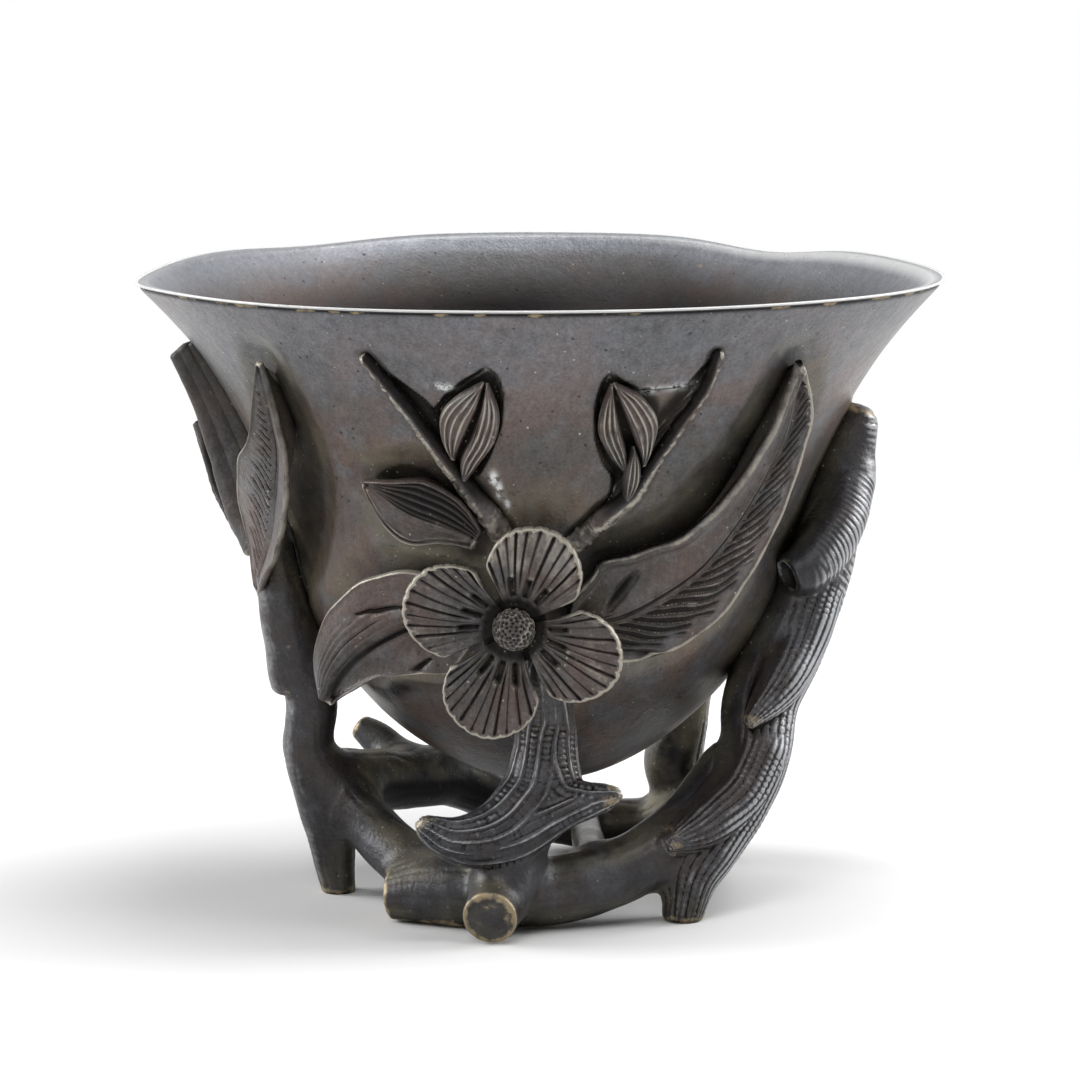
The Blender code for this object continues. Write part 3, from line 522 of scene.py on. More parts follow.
def bronze(name, patina, wear_and_painted_light, dust, wear_and_highlight_colour, gloss, lip_sheen=0.0):
    """Bronze material: patina with a painted sheen where asked, then dust, dirt and painted shade in the
    hollows, then worn edges with painted highlights, and bare metal.
    """
    material = bpy.data.materials.new(name)
    material.use_nodes = True
    tree = material.node_tree
    shader = tree.nodes["Principled BSDF"]
    skin = add_node(tree, "ShaderNodeGroup", {"node_tree": PATINA}, patina)
    edges = add_node(tree, "ShaderNodeGroup", {"node_tree": WEAR_AND_PAINTED_LIGHT}, wear_and_painted_light)
    settled_and_painted_shade = add_node(tree, "ShaderNodeGroup", {"node_tree": DUST_AND_PAINTED_SHADE}, dust)
    colour = skin.outputs["Colour"]
    cut = edges.outputs["Cut"]
    # Painted sheen on the bowl, less mottling inside, and no dark cut lines on the lip
    if lip_sheen:
        cut = maths(tree, "MULTIPLY", cut, maths(tree, "SUBTRACT", 1.0, mask_value(tree, "lip")))
        sheen = mask_value(tree, "sheen")
        inside = mask_value(tree, "inside")
        share = maths(tree, "MULTIPLY_ADD", inside, INSIDE_SHEEN, lip_sheen)
        share = maths(tree, "MULTIPLY", soft_range(tree, sheen, 0.0, 1.0), share)
        tree.links.new(share, skin.inputs["Sheen"])
        mottle = maths(tree, "MULTIPLY_ADD", inside, -INSIDE_CALM * patina["Mottle"], patina["Mottle"])
        tree.links.new(mottle, skin.inputs["Mottle"])
    colour = blend_colour(tree, settled_and_painted_shade.outputs["Dust"], colour, OLIVE_DUST)
    colour = blend_colour(tree, maths(tree, "MULTIPLY", cut, 0.9), colour, DIRT_AND_SHADE_BLACK)
    colour = blend_colour(tree, settled_and_painted_shade.outputs["Dirt and painted shade"], colour, DIRT_AND_SHADE_BLACK)
    colour = blend_colour(tree, edges.outputs["Worn and painted highlight"], colour, wear_and_highlight_colour)
    colour = blend_colour(tree, settled_and_painted_shade.outputs["Flecks"], colour, PALE_FLECKS)
    colour = blend_colour(tree, maths(tree, "MULTIPLY", edges.outputs["Bare"], 0.8), colour, BARE_BRASS)
    if lip_sheen:
        place = add_node(tree, "ShaderNodeTexCoord").outputs["Object"]
        broken = soft_range(tree, noise_value(tree, place, 900.0, 5.0, 0.7), 0.40, 0.54)
        chalk = maths(tree, "MULTIPLY", mask_value(tree, "chalk"), broken)
        colour = blend_colour(tree, chalk, colour, WHITE_CHALK)
        # Polish of the lip edge, partly worn metal and partly painted highlight, and painted reflection
        # inside near the lip
        polish = maths(tree, "MULTIPLY", soft_range(tree, sheen, 1.2, 1.8), 0.9)
        colour = blend_colour(tree, polish, colour, LIP_POLISH_AND_HIGHLIGHT)
    tree.links.new(colour, shader.inputs["Base Color"])
    covered = maths(tree, "MAXIMUM", settled_and_painted_shade.outputs["Dust"], settled_and_painted_shade.outputs["Dirt and painted shade"])
    rough = maths(tree, "MULTIPLY_ADD", covered, 0.3, skin.outputs["Roughness"])
    tree.links.new(rough, shader.inputs["Roughness"])
    # Where dirt and painted shade are darkest the metal turns fully metallic in its near black colour, so it
    # shows no reflection there either
    darkest = maths(tree, "MAXIMUM", settled_and_painted_shade.outputs["Dirt and painted shade"], cut)
    darkest = maths(tree, "MULTIPLY", maths(tree, "MULTIPLY", darkest, darkest),
                    maths(tree, "SUBTRACT", 1.0, edges.outputs["Worn and painted highlight"]))
    metal = maths(tree, "MULTIPLY_ADD", darkest, 1.0 - METAL_SHARE, METAL_SHARE)
    tree.links.new(metal, shader.inputs["Metallic"])
    shader.inputs["Specular IOR Level"].default_value = gloss
    bump = add_node(tree, "ShaderNodeBump", {}, {"Strength": GRAIN_STRENGTH, "Distance": GRAIN_HEIGHT,
                                                 "Height": skin.outputs["Grain"]})
    tree.links.new(bump.outputs["Normal"], shader.inputs["Normal"])
    return material


BOWL_BRONZE = bronze(
    "bowl_bronze",
    {"Ground": (0.080, 0.074, 0.070, 1.0), "Brown": (0.100, 0.066, 0.054, 1.0),
     "Grey": (0.104, 0.110, 0.122, 1.0), "Brown amount": 0.9, "Grey amount": 0.6,
     "Specks": 0.8, "Mottle": 1.0},
    {"Worn and painted highlight from": 0.09, "Worn and painted highlight to": 0.24, "Cut from": -0.03, "Cut to": -0.13},
    {"Dust amount": 0.9, "Dirt and painted shade amount": 0.95}, BRONZE_WEAR_AND_HIGHLIGHT, 0.4, 0.45)
BRANCH_BRONZE = bronze(
    "branch_bronze",
    {"Ground": (0.024, 0.0235, 0.027, 1.0), "Brown": (0.036, 0.027, 0.024, 1.0),
     "Grey": (0.050, 0.053, 0.061, 1.0), "Brown amount": 0.65, "Grey amount": 0.65,
     "Specks": 0.3, "Mottle": 1.1},
    {"Worn and painted highlight from": 0.045, "Worn and painted highlight to": 0.19, "Cut from": -0.012, "Cut to": -0.09},
    {"Dust amount": 0.6, "Dirt and painted shade amount": 0.95}, BRANCH_WEAR_AND_HIGHLIGHT, 0.42)
RELIEF_BRONZE = bronze(
    "relief_bronze",
    {"Ground": (0.066, 0.060, 0.057, 1.0), "Brown": (0.086, 0.057, 0.048, 1.0),
     "Grey": (0.108, 0.107, 0.112, 1.0), "Brown amount": 0.7, "Grey amount": 0.6,
     "Specks": 0.6, "Mottle": 1.0},
    {"Worn and painted highlight from": 0.10, "Worn and painted highlight to": 0.22, "Cut from": -0.015, "Cut to": -0.08},
    {"Dust amount": 0.5, "Dirt and painted shade amount": 0.95}, BRONZE_WEAR_AND_HIGHLIGHT, 0.35)


# Roots and branches: one carved form, parted into its pieces afterwards


class Limb(NamedTuple):
    """A run of a root or branch: its line in mm, its bark, its joints and how its ends are finished."""
    branch: str
    stations: list
    bark: str = "smooth"
    web: float = 2.4
    cut_start: bool = False
    cut_end: bool = False
    edge: float = 0.7
    dish: float = 0.0


def on_wall(angle, share, out, radius):
    """Branch station out from the bowl wall."""
    return (*wall_point(angle, share, out), radius)


def free(x, y, z, radius):
    """Branch station in the open."""
    return (x, y, z, radius)


LIMBS = [
    Limb("right_trunk", [
        on_wall(86, 0.77, 1.8, 2.3), on_wall(86, 0.70, 2.7, 3.5), on_wall(83, 0.60, 3.3, 4.4),
        on_wall(79, 0.52, 3.6, 4.9), on_wall(73, 0.43, 4.0, 5.1), on_wall(67, 0.355, 5.8, 4.9),
        free(27.6, -15.0, 20.5, 4.5), free(25.5, -16.5, 15.0, 4.1), free(21.8, -18.5, 9.5, 4.1),
        free(19.2, -20.0, 5.0, 3.3), free(18.0, -21.0, -1.5, 2.3)], "trunk", 2.4, True, True, 2.2),
    Limb("right_trunk", [
        on_wall(84, 0.66, 4.6, 3.0), on_wall(77, 0.60, 5.2, 3.3), on_wall(69.3, 0.545, 4.2, 3.2),
        on_wall(65.0, 0.522, 2.4, 2.6)], "ringed", 2.4, False, True, 0.8, 2.4),
    Limb("right_trunk", [
        on_wall(76, 0.50, 4.7, 3.5), on_wall(70, 0.44, 5.8, 3.5), on_wall(62, 0.395, 7.4, 2.9),
        on_wall(53.5, 0.357, 8.6, 1.0)], "lined", 0.5),
    Limb("right_trunk", [
        free(28.2, -16.0, 21.0, 3.6), free(25.2, -18.3, 15.8, 3.5), free(21.0, -21.0, 12.4, 2.9),
        free(17.2, -23.6, 10.8, 1.0)], "lined", 0.5),
    Limb("left_trunk", [
        on_wall(-76.5, 0.565, 1.8, 2.3), on_wall(-77, 0.53, 2.4, 2.7), on_wall(-76, 0.47, 3.1, 3.3),
        on_wall(-76, 0.41, 3.8, 3.5), on_wall(-76, 0.345, 6.0, 3.4), free(-30.0, -7.0, 20.0, 3.5),
        free(-27.9, -6.0, 14.0, 4.3), free(-27.1, -5.0, 7.0, 3.0), free(-26.2, -4.0, -1.5, 2.1)],
        "facetted", 2.4, False, True),
    Limb("left_trunk", [
        on_wall(-76, 0.48, 3.0, 2.9), on_wall(-76, 0.43, 3.6, 3.5), on_wall(-77, 0.382, 5.2, 3.8),
        on_wall(-77.5, 0.365, 5.9, 3.7)], "facetted", 0.5, False, True, 0.9),
    Limb("back_right_trunk", [
        on_wall(99, 0.68, 1.4, 1.8), on_wall(101, 0.60, 2.3, 2.8), on_wall(104, 0.50, 3.0, 3.4),
        on_wall(110, 0.40, 4.4, 3.6), free(28.5, 15.5, 16.0, 3.3), free(26.5, 17.0, 7.5, 2.7),
        free(24.6, 17.0, -1.5, 1.9)], "lined", 2.4, True, True, 1.6),
    Limb("front_root", [
        free(-19.2, -20.5, 3.1, 3.0), free(-14.0, -22.0, 3.8, 3.9), free(-8.9, -24.0, 4.2, 4.1),
        free(-2.5, -25.0, 4.4, 4.2), free(2.5, -24.3, 4.8, 4.3), free(10.2, -22.0, 6.6, 4.2),
        free(14.7, -20.0, 9.0, 3.9), free(19.3, -16.5, 13.0, 3.4), free(23.0, -13.5, 18.0, 2.8)],
        "flowing", 3.2, True, False, 0.5),
    Limb("left_root", [
        free(-26.0, -6.0, 13.5, 3.4), free(-20.0, -11.5, 8.2, 3.6), free(-14.5, -17.5, 5.2, 3.8),
        free(-9.5, -23.0, 4.2, 3.4)], "flowing", 3.2),
    Limb("front_branch", [
        on_wall(0.0, 0.41, 0.9, 2.3), on_wall(1.3, 0.34, 2.0, 3.0), on_wall(1.3, 0.285, 4.2, 3.3),
        free(-0.8, -27.2, 17.0, 4.1), free(-3.0, -27.8, 11.8, 4.2), free(-4.3, -29.3, 7.0, 3.9),
        free(-4.9, -30.0, 5.0, 3.2)], "stem", 3.0),
    Limb("front_branch", [
        on_wall(0.4, 0.40, 1.2, 2.2), on_wall(0.6, 0.33, 3.0, 2.8), free(-0.6, -27.8, 19.5, 3.2),
        free(-3.0, -30.0, 16.2, 3.4), free(-6.6, -32.0, 14.0, 3.1), free(-10.8, -33.4, 13.6, 2.4),
        free(-14.0, -34.0, 14.9, 1.5)], "beaded", 2.6),
    Limb("front_branch", [
        on_wall(2.6, 0.37, 1.6, 2.2), on_wall(3.2, 0.31, 3.2, 2.6), free(3.0, -28.6, 19.0, 2.5),
        free(5.6, -30.2, 17.9, 2.0), free(9.2, -31.0, 18.4, 1.1)], "beaded", 2.0),
    Limb("front_branch", [
        free(7.4, -30.8, 18.0, 1.3), free(1.9, -31.0, 15.6, 2.2), free(-3.1, -31.4, 12.8, 2.7),
        free(-8.7, -32.6, 12.0, 2.3), free(-12.4, -33.6, 13.6, 1.5)], "beaded", 1.8),
    Limb("front_branch", [
        free(-4.4, -28.6, 7.0, 3.3), free(-5.6, -31.8, 4.4, 3.6), free(-6.3, -35.2, 3.4, 3.5)],
        "smooth", 1.6, False, True, 0.5, 0.5),
    Limb("back_left_branch", [
        free(-24.0, -3.0, 14.5, 4.1), free(-17.2, 6.0, 13.0, 4.1), free(-12.0, 11.5, 12.2, 4.0),
        free(-5.4, 16.5, 8.4, 3.8), free(0.5, 20.0, 5.2, 3.4)], "flowing", 3.0),
    Limb("back_left_branch", [
        free(-17.5, 6.5, 14.0, 2.7), free(-21.2, 9.0, 17.4, 2.3), free(-24.2, 10.3, 19.4, 1.5)],
        "smooth", 2.2, False, True),
    Limb("back_root", [
        free(-1.5, 18.8, 6.2, 2.4), free(4.0, 21.5, 4.0, 3.4), free(9.0, 22.2, 3.3, 3.4),
        free(14.5, 21.5, 3.6, 3.4), free(19.5, 18.8, 5.4, 3.4), free(24.5, 12.0, 9.5, 3.2),
        free(27.0, 2.0, 14.0, 3.2), free(27.6, -8.0, 17.5, 3.2)], "flowing", 3.0),
    Limb("back_branch", [
        free(18.4, 19.8, 5.2, 2.6), free(18.2, 20.6, 8.8, 3.3), free(17.8, 20.6, 13.0, 3.9),
        free(19.2, 19.0, 18.5, 3.3), on_wall(134, 0.36, 2.4, 3.1), on_wall(142, 0.42, 1.6, 2.6),
        on_wall(150, 0.455, 0.8, 2.0)], "stem", 2.4),
    Limb("cross_root", [
        free(6.6, -20.0, 8.0, 2.0), free(6.2, 0.0, 6.4, 2.1), free(6.0, 21.0, 4.2, 2.0)], "smooth", 2.4),
]

# Cage of roots and branches, in mm: mesh step, web to the bowl, round of the feet and height of their
# flutes, extra room and ring of the rough skin, and how far off a limb still counts
CAGE_VOXEL = 0.235
BOWL_WEB = 1.6
FOOT_ROUND = 0.6
FOOT_FLUTES = 8.0
ROUGH_ROOM = 0.3
ROUGH_RING = 14
FAR_OFF = 50.0
NEAR_LIMB = 4.0

# Spots looked up at a time, which keeps the memory small
BATCH = 8000


class Line:
    """Smooth line of a limb, with its radii, lengths and turning frame."""

    def __init__(self, stations):
        rows = smooth_rows(stations, 8)
        self.spots = rows[:, :3]
        self.radii = rows[:, 3]
        steps = np.diff(self.spots, axis=0)
        self.lengths = np.concatenate([[0.0], np.cumsum(np.linalg.norm(steps, axis=1))])
        self.along = unit(np.gradient(self.spots, axis=0))
        side = np.cross(self.along[0], (0.0, 0.0, 1.0) if abs(self.along[0][2]) < 0.9 else (1.0, 0.0, 0.0))
        sides = []
        for along in self.along:
            side = side - along * (side @ along)
            side = side / np.linalg.norm(side)
            sides.append(side)
        self.sides = np.array(sides)

    def place(self, spots):
        """Nearest place on the line: gap to the bark, direction out, length along and turn round."""
        start = self.spots[:-1]
        run = np.diff(self.spots, axis=0)
        size = (run ** 2).sum(axis=1)
        gap = np.empty(len(spots))
        out = np.empty((len(spots), 3))
        length = np.empty(len(spots))
        turn = np.empty(len(spots))
        for first in range(0, len(spots), BATCH):
            part = spots[first:first + BATCH]
            away = part[:, None, :] - start[None]
            share = np.clip((away * run).sum(axis=2) / size, 0.0, 1.0)
            apart = away - share[:, :, None] * run
            distance = np.sqrt((apart ** 2).sum(axis=2))
            radius = self.radii[:-1] + np.diff(self.radii) * share
            best = np.argmin(distance - radius, axis=1)
            row = np.arange(len(part))
            chosen = slice(first, first + len(part))
            gap[chosen] = (distance - radius)[row, best]
            out[chosen] = apart[row, best] / np.maximum(distance[row, best], 1e-6)[:, None]
            length[chosen] = self.lengths[best] + np.diff(self.lengths)[best] * share[row, best]
            side = self.sides[best]
            other = np.cross(self.along[best], side)
            turn[chosen] = np.arctan2((out[chosen] * other).sum(axis=1), (out[chosen] * side).sum(axis=1))
        return gap, out, length, turn


LINES = [Line(limb.stations) for limb in LIMBS]


def join_softly(first, first_out, second, second_out, web):
    """Two surfaces joined with a soft web between them."""
    share = np.clip(0.5 + 0.5 * (second - first) / web, 0.0, 1.0)
    gap = second + (first - second) * share - web * share * (1.0 - share)
    out = second_out + (first_out - second_out) * share[:, None]
    return gap, out


def cut_softly(gap, out, plane, facing, edge):
    """A surface cut by a plane with a rounded edge."""
    share = np.clip(0.5 + 0.5 * (gap - plane) / edge, 0.0, 1.0)
    return (plane + (gap - plane) * share + edge * share * (1.0 - share),
            facing + (out - facing) * share[:, None])


def limb_gap(number, spots):
    """Gap from spots to one limb with its cut ends, the way out, and how near cut rims and holes are."""
    limb = LIMBS[number]
    line = LINES[number]
    gap, out, length, turn = line.place(spots)
    tip = 0.9 if line.radii[-1] < 2.0 and not limb.cut_end else 0.0
    rim = tip * np.exp(-((spots - line.spots[-1]) ** 2).sum(axis=1) / 1.9 ** 2)
    hole = np.zeros(len(spots))
    for wanted, end, sign, dish in ((limb.cut_start, 0, -1.0, 0.0), (limb.cut_end, -1, 1.0, limb.dish)):
        if wanted:
            facing = line.along[end] * sign
            away = spots - line.spots[end]
            plane = away @ facing
            aside = np.linalg.norm(away - plane[:, None] * facing, axis=1)
            radius = line.radii[end]
            hollow = np.clip(1.0 - (aside / (0.75 * radius)) ** 2, 0.0, 1.0)
            bright = 0.3 if dish > 1.0 or limb.bark == "facetted" else 1.1
            face = 0.5 * smooth_step(radius, 0.6 * radius, aside)
            ring = np.maximum(hump(aside - radius, 1.1), face)
            rim = np.maximum(rim, bright * ring * hump(plane, 0.9))
            if dish > 1.0:
                depth = smooth_step(-dish - 1.0, -dish, plane)
                hole = np.maximum(hole, smooth_step(0.0, 0.5, hollow) * depth)
            plane = plane + dish * hollow
            gap, out = cut_softly(gap, out, plane, np.broadcast_to(facing, out.shape), limb.edge)
    return gap, out, rim, hole


def cage_gap(spots):
    """Gap from spots to the whole cage, the direction out, gaps to each limb, cut rims and holes."""
    gaps = np.full((len(LIMBS), len(spots)), FAR_OFF)
    total = np.full(len(spots), FAR_OFF)
    total_out = np.zeros((len(spots), 3))
    rims = np.zeros(len(spots))
    holes = np.zeros(len(spots))
    for number, line in enumerate(LINES):
        margin = line.radii.max() + NEAR_LIMB
        above = spots > line.spots.min(axis=0) - margin
        below = spots < line.spots.max(axis=0) + margin
        near = np.all(above & below, axis=1)
        gap, out, rim, hole = limb_gap(number, spots[near])
        gaps[number, near] = gap
        rims[near] = np.maximum(rims[near], rim)
        holes[near] = np.maximum(holes[near], hole)
        web = LIMBS[number].web
        total[near], total_out[near] = join_softly(gap, out, total[near], total_out[near], web)
    ground = np.broadcast_to((0.0, 0.0, -1.0), total_out.shape)
    total, total_out = cut_softly(total, total_out, -spots[:, 2], ground, FOOT_ROUND)
    return total, unit(total_out), gaps, rims, holes


def rough_cage():
    """Closed skin of all the limbs, joined and remeshed evenly."""
    shape = bmesh.new()
    ring = np.arange(ROUGH_RING) * 2.0 * math.pi / ROUGH_RING
    for limb, line in zip(LIMBS, LINES):
        rows = []
        other = np.cross(line.along, line.sides)
        stations = list(zip(line.spots, line.sides, other, line.radii))
        for end, sign, cut in ((0, -1.0, limb.cut_start), (-1, 1.0, limb.cut_end)):
            if not cut:
                spot, side, cross, radius = stations[end]
                tip = (spot + line.along[end] * sign * 0.8 * radius, side, cross, 0.5 * radius)
                stations.insert(0 if end == 0 else len(stations), tip)
        for spot, side, cross, radius in stations:
            wide = radius + ROUGH_ROOM
            rows.append([shape.verts.new(spot + (side * math.cos(t) + cross * math.sin(t)) * wide)
                         for t in ring])
        for low, high in zip(rows, rows[1:]):
            for i in range(ROUGH_RING):
                after = (i + 1) % ROUGH_RING
                shape.faces.new((low[i], low[after], high[after], high[i]))
        shape.faces.new(rows[0][::-1])
        shape.faces.new(rows[-1])
    mesh = bpy.data.meshes.new("cage")
    shape.to_mesh(mesh)
    shape.free()
    holder = bpy.data.objects.new("cage", mesh)
    bpy.context.scene.collection.objects.link(holder)
    remesh = holder.modifiers.new("even_skin", "REMESH")
    remesh.mode = "VOXEL"
    remesh.voxel_size = CAGE_VOXEL
    graph = bpy.context.evaluated_depsgraph_get()
    skin = bpy.data.meshes.new_from_object(holder.evaluated_get(graph))
    bpy.data.objects.remove(holder)
    return skin


def wall_gap(spots):
    """Gap from spots to the outer wall, below zero inside it, and the direction out of it."""
    angle = np.degrees(np.arctan2(spots[:, 0], -spots[:, 1]))
    share = np.interp(spots[:, 2], WALL_HEIGHTS, WALL_LENGTHS) / WALL_LENGTH
    for _ in range(5):
        spot, across, up, outward = wall_frame(angle, share)
        away = spots - spot
        radius = np.maximum(wall_line(share)[0], 2.0)
        share = np.clip(share + (away * up).sum(axis=1) / WALL_LENGTH, 0.004, 1.1)
        angle = angle + np.degrees((away * across).sum(axis=1) / radius)
    spot, across, up, outward = wall_frame(angle, share)
    return ((spots - spot) * outward).sum(axis=1), outward


def waves(phase):
    """Rounded ridges with narrow grooves at whole numbers, about level on average."""
    return np.abs(np.sin(math.pi * phase)) ** 0.6 - 0.72


def line_phase(turn, radius, spacing):
    """Count of the lines round a limb, lines a spacing apart."""
    count = max(round(2.0 * math.pi * radius / spacing), 4)
    return turn * count / (2.0 * math.pi)


def beaded_bark(length, turn, radius, wander, patch):
    """Thin raised lines along the limb with rows of low beads between them."""
    spacing = 1.65
    phase = line_phase(turn, radius, spacing) + 0.25 * wander
    across = phase - np.floor(phase)
    line = hump(np.minimum(across, 1.0 - across) * spacing, 0.27)
    beat = length / 0.85 + 0.5 * np.floor(phase) + 0.3 * wander
    bead = np.abs(np.sin(math.pi * beat)) ** 0.7
    bead = bead * smooth_step(0.16, 0.38, across) * smooth_step(0.84, 0.62, across)
    return 0.38 * line + 0.30 * bead * patch - 0.20


def lined_bark(length, turn, radius, wander, patch):
    """Fine long ribs with small cuts across them."""
    phase = line_phase(turn, radius, 1.1) + 0.3 * wander
    cuts = waves(length / 0.8 + 0.37 * np.floor(phase) + 0.25 * wander)
    return 0.24 * waves(phase) + 0.12 * cuts * patch


def bark(number, length, turn, out, spots):
    """Height of the bark of one limb over its smooth shape."""
    kind = LIMBS[number].bark
    radius = float(np.median(LINES[number].radii))
    around = np.stack([length, radius * np.cos(turn), radius * np.sin(turn)], axis=1)
    wander = cast_noise(around, 6.0, number + 1)
    patch = smooth_step(-0.8, 0.2, cast_noise(around, 4.0, number + 20))
    radial = unit(spots * (1.0, 1.0, 0.0))
    outside = smooth_step(-0.15, 0.45, (out * radial).sum(axis=1))
    height = 0.10 * cast_noise(spots, 3.2, number + 40) + 0.18 * cast_noise(spots, 7.0, number + 70)
    if kind == "beaded":
        height += beaded_bark(length, turn, radius, wander, patch) * (0.3 + 0.7 * outside)
    if kind == "stem":
        fade = smooth_step(17.0, 13.0, length)
        height += beaded_bark(length, turn, radius, wander, patch) * outside * fade
    if kind == "lined":
        height += lined_bark(length, turn, radius, wander, patch) * outside
    if kind == "ringed":
        height += 0.13 * waves(length / 0.8 + 0.7 * wander + 0.4 * np.cos(turn)) * (0.4 + 0.6 * patch)
    if kind == "trunk":
        ringed = smooth_step(27.0, 23.0, length)
        rings = 0.20 * waves(length / 0.95 + 0.35 * np.cos(turn) + 0.4 * wander)
        lines = lined_bark(length, turn, radius, wander, patch)
        height += (rings * ringed + lines * (1.0 - ringed)) * outside
    if kind == "facetted":
        lines = 0.04 * waves(line_phase(turn, radius, 1.5) + wander)
        height += 0.35 * np.abs(cast_noise(spots, 5.5, 91)) - 0.12 + lines
    if kind == "flowing":
        height += 0.11 * waves(line_phase(turn, radius, 1.8) + 0.7 * wander) * patch
    if kind in ("trunk", "facetted", "lined"):
        foot = smooth_step(FOOT_FLUTES, FOOT_FLUTES - 3.0, spots[:, 2])
        height += 0.16 * waves(line_phase(turn, radius, 2.1) + 0.2 * wander) * foot
    return height


def carve_cage():
    """The carved cage: its mesh, its limb gaps and the masks for its finish."""
    skin = rough_cage()
    edges = edges_of(skin)
    spots = np.empty(len(skin.vertices) * 3)
    skin.vertices.foreach_get("co", spots)
    spots = spots.reshape(-1, 3)
    for step in range(4):
        gap, out, gaps, rims, holes = cage_gap(spots)
        spots = spots - out * np.clip(gap, -0.5, 0.5)[:, None]
        if step < 3:
            spots = relaxed(spots, edges, 3)
    gap, out, gaps, rims, holes = cage_gap(spots)
    wall = wall_gap(spots)[0]
    rise = np.clip(1.0 - np.abs(wall) / BOWL_WEB, 0.0, 1.0) ** 2 * BOWL_WEB / 4.0
    spots = spots + out * (rise * smooth_step(-0.4, 0.2, wall))[:, None]
    heights = np.zeros(len(spots))
    weights = np.full(len(spots), 1e-9)
    least = gaps.min(axis=0)
    for number in range(len(LIMBS)):
        near = gaps[number] < least + 1.6
        weight = np.exp(-(gaps[number][near] - least[near]) / 0.12)
        place = LINES[number].place(spots[near])
        heights[near] += weight * bark(number, place[2], place[3], out[near], spots[near])
        weights[near] += weight
    heights /= weights
    heights *= smooth_step(0.0, 1.0, spots[:, 2]) * smooth_step(0.1, 1.2, wall)
    spots = spots + out * heights[:, None]
    spots[:, 2] = np.maximum(spots[:, 2], 0.0)
    skin.vertices.foreach_set("co", (spots * MM).ravel())
    skin.update()
    ground = smooth_step(1.8, 0.4, spots[:, 2])
    inner = smooth_step(0.0, -0.6, (out * unit(spots * (1.0, 1.0, 0.0))).sum(axis=1))
    upward = smooth_step(-0.1, 0.4, out[:, 2])
    # Painted highlights on the ridges of the right trunk's outer side and on the left trunk's outer side
    right_side = smooth_step(18.0, 26.0, spots[:, 0]) * smooth_step(0.2, 0.8, out[:, 0])
    left_side = smooth_step(-24.0, -30.0, spots[:, 0]) * smooth_step(-0.3, -0.8, out[:, 0])
    carving = carving_of(skin, 10)
    ridge = smooth_step(-0.03, 0.05, carving)
    branches = [limb.branch for limb in LIMBS]
    on_back = smooth_step(0.8, 0.2, gaps[branches.index("back_branch")] - least)
    on_left = smooth_step(0.8, 0.2, gaps[branches.index("back_left_branch")] - least)
    dusty = np.maximum(on_back * smooth_step(24.0, 20.0, spots[:, 2]), on_left * upward)
    low_top = smooth_step(0.35, 0.85, out[:, 2]) * smooth_step(16.0, 11.0, spots[:, 2])
    shelter = np.max([0.9 * inner * upward, 0.75 * low_top, 1.5 * dusty], axis=0)
    # Painted shade on inward faces that do not face up, under the cup, and in the holes of cut ends
    masks = {"carving": carving, "bare": np.maximum(rims, 0.7 * ground), "shelter": shelter,
             "painted_shade": np.maximum(holes, 0.8 * inner * (1.0 - upward) * (1.0 - dusty)),
             "rub_and_painted_light": (1.25 * ridge - 0.2) * right_side + 0.35 * left_side}
    return skin, gaps, masks


def shut_openings(faces, spots):
    """Fans that close the open rings of a set of faces, with their middle spots added."""
    sides = np.concatenate([faces[:, [k, (k + 1) % 4]] for k in range(4)])
    count = len(spots)
    code = sides[:, 0] * count + sides[:, 1]
    other = sides[:, 1] * count + sides[:, 0]
    rim = sides[~np.isin(code, other)]
    group = {int(corner): int(corner) for corner in np.unique(rim)}

    def root(corner):
        while group[corner] != corner:
            group[corner] = group[group[corner]]
            corner = group[corner]
        return corner

    for first, second in rim.tolist():
        group[root(first)] = root(second)
    rings = {}
    for first, second in rim.tolist():
        rings.setdefault(root(first), []).append((first, second))
    middles = []
    fans = []
    for ring in rings.values():
        middles.append(spots[[first for first, second in ring]].mean(axis=0))
        fans += [(second, first, count + len(middles) - 1) for first, second in ring]
    return middles, fans


def part_cage(skin, gaps, masks):
    """Part the carved cage into one closed piece for each branch."""
    names = list(dict.fromkeys(limb.branch for limb in LIMBS))
    owner = np.stack([np.min([gaps[n] for n, limb in enumerate(LIMBS) if limb.branch == name], axis=0)
                      for name in names]).argmin(axis=0)
    normals = normals_of(skin)
    spots = spots_of(skin)
    faces = np.array([list(face.vertices) for face in skin.polygons])
    face_owner = owner[faces[:, 0]]
    pieces = []
    for number, name in enumerate(names):
        used, local = np.unique(faces[face_owner == number], return_inverse=True)
        local = local.reshape(-1, 4)
        middles, fans = shut_openings(local, spots[used])
        blank = np.zeros((len(middles), 3))
        mesh = bpy.data.meshes.new(f"{name}_cast")
        mesh.from_pydata((np.vstack([spots[used], *middles]) * MM).tolist(), [], local.tolist() + fans)
        mesh.polygons.foreach_set("use_smooth", np.ones(len(mesh.polygons), bool))
        mesh.normals_split_custom_set_from_vertices(np.vstack([normals[used], blank]))
        mesh.materials.append(BRANCH_BRONZE)
        piece = bpy.data.objects.new(f"{name}_cast", mesh)
        bpy.context.scene.collection.objects.link(piece)
        for mask, values in masks.items():
            write_mask(mesh, mask, np.concatenate([values[used], blank[:, 0]]))
        pieces.append(tie_piece(piece))
    return pieces


# Twigs

# How deep a twig may sit in the wall, in mm, so that it stays out of the bowl's inside
TWIG_ROOT = 1.1
TWIG_STEP = 0.2


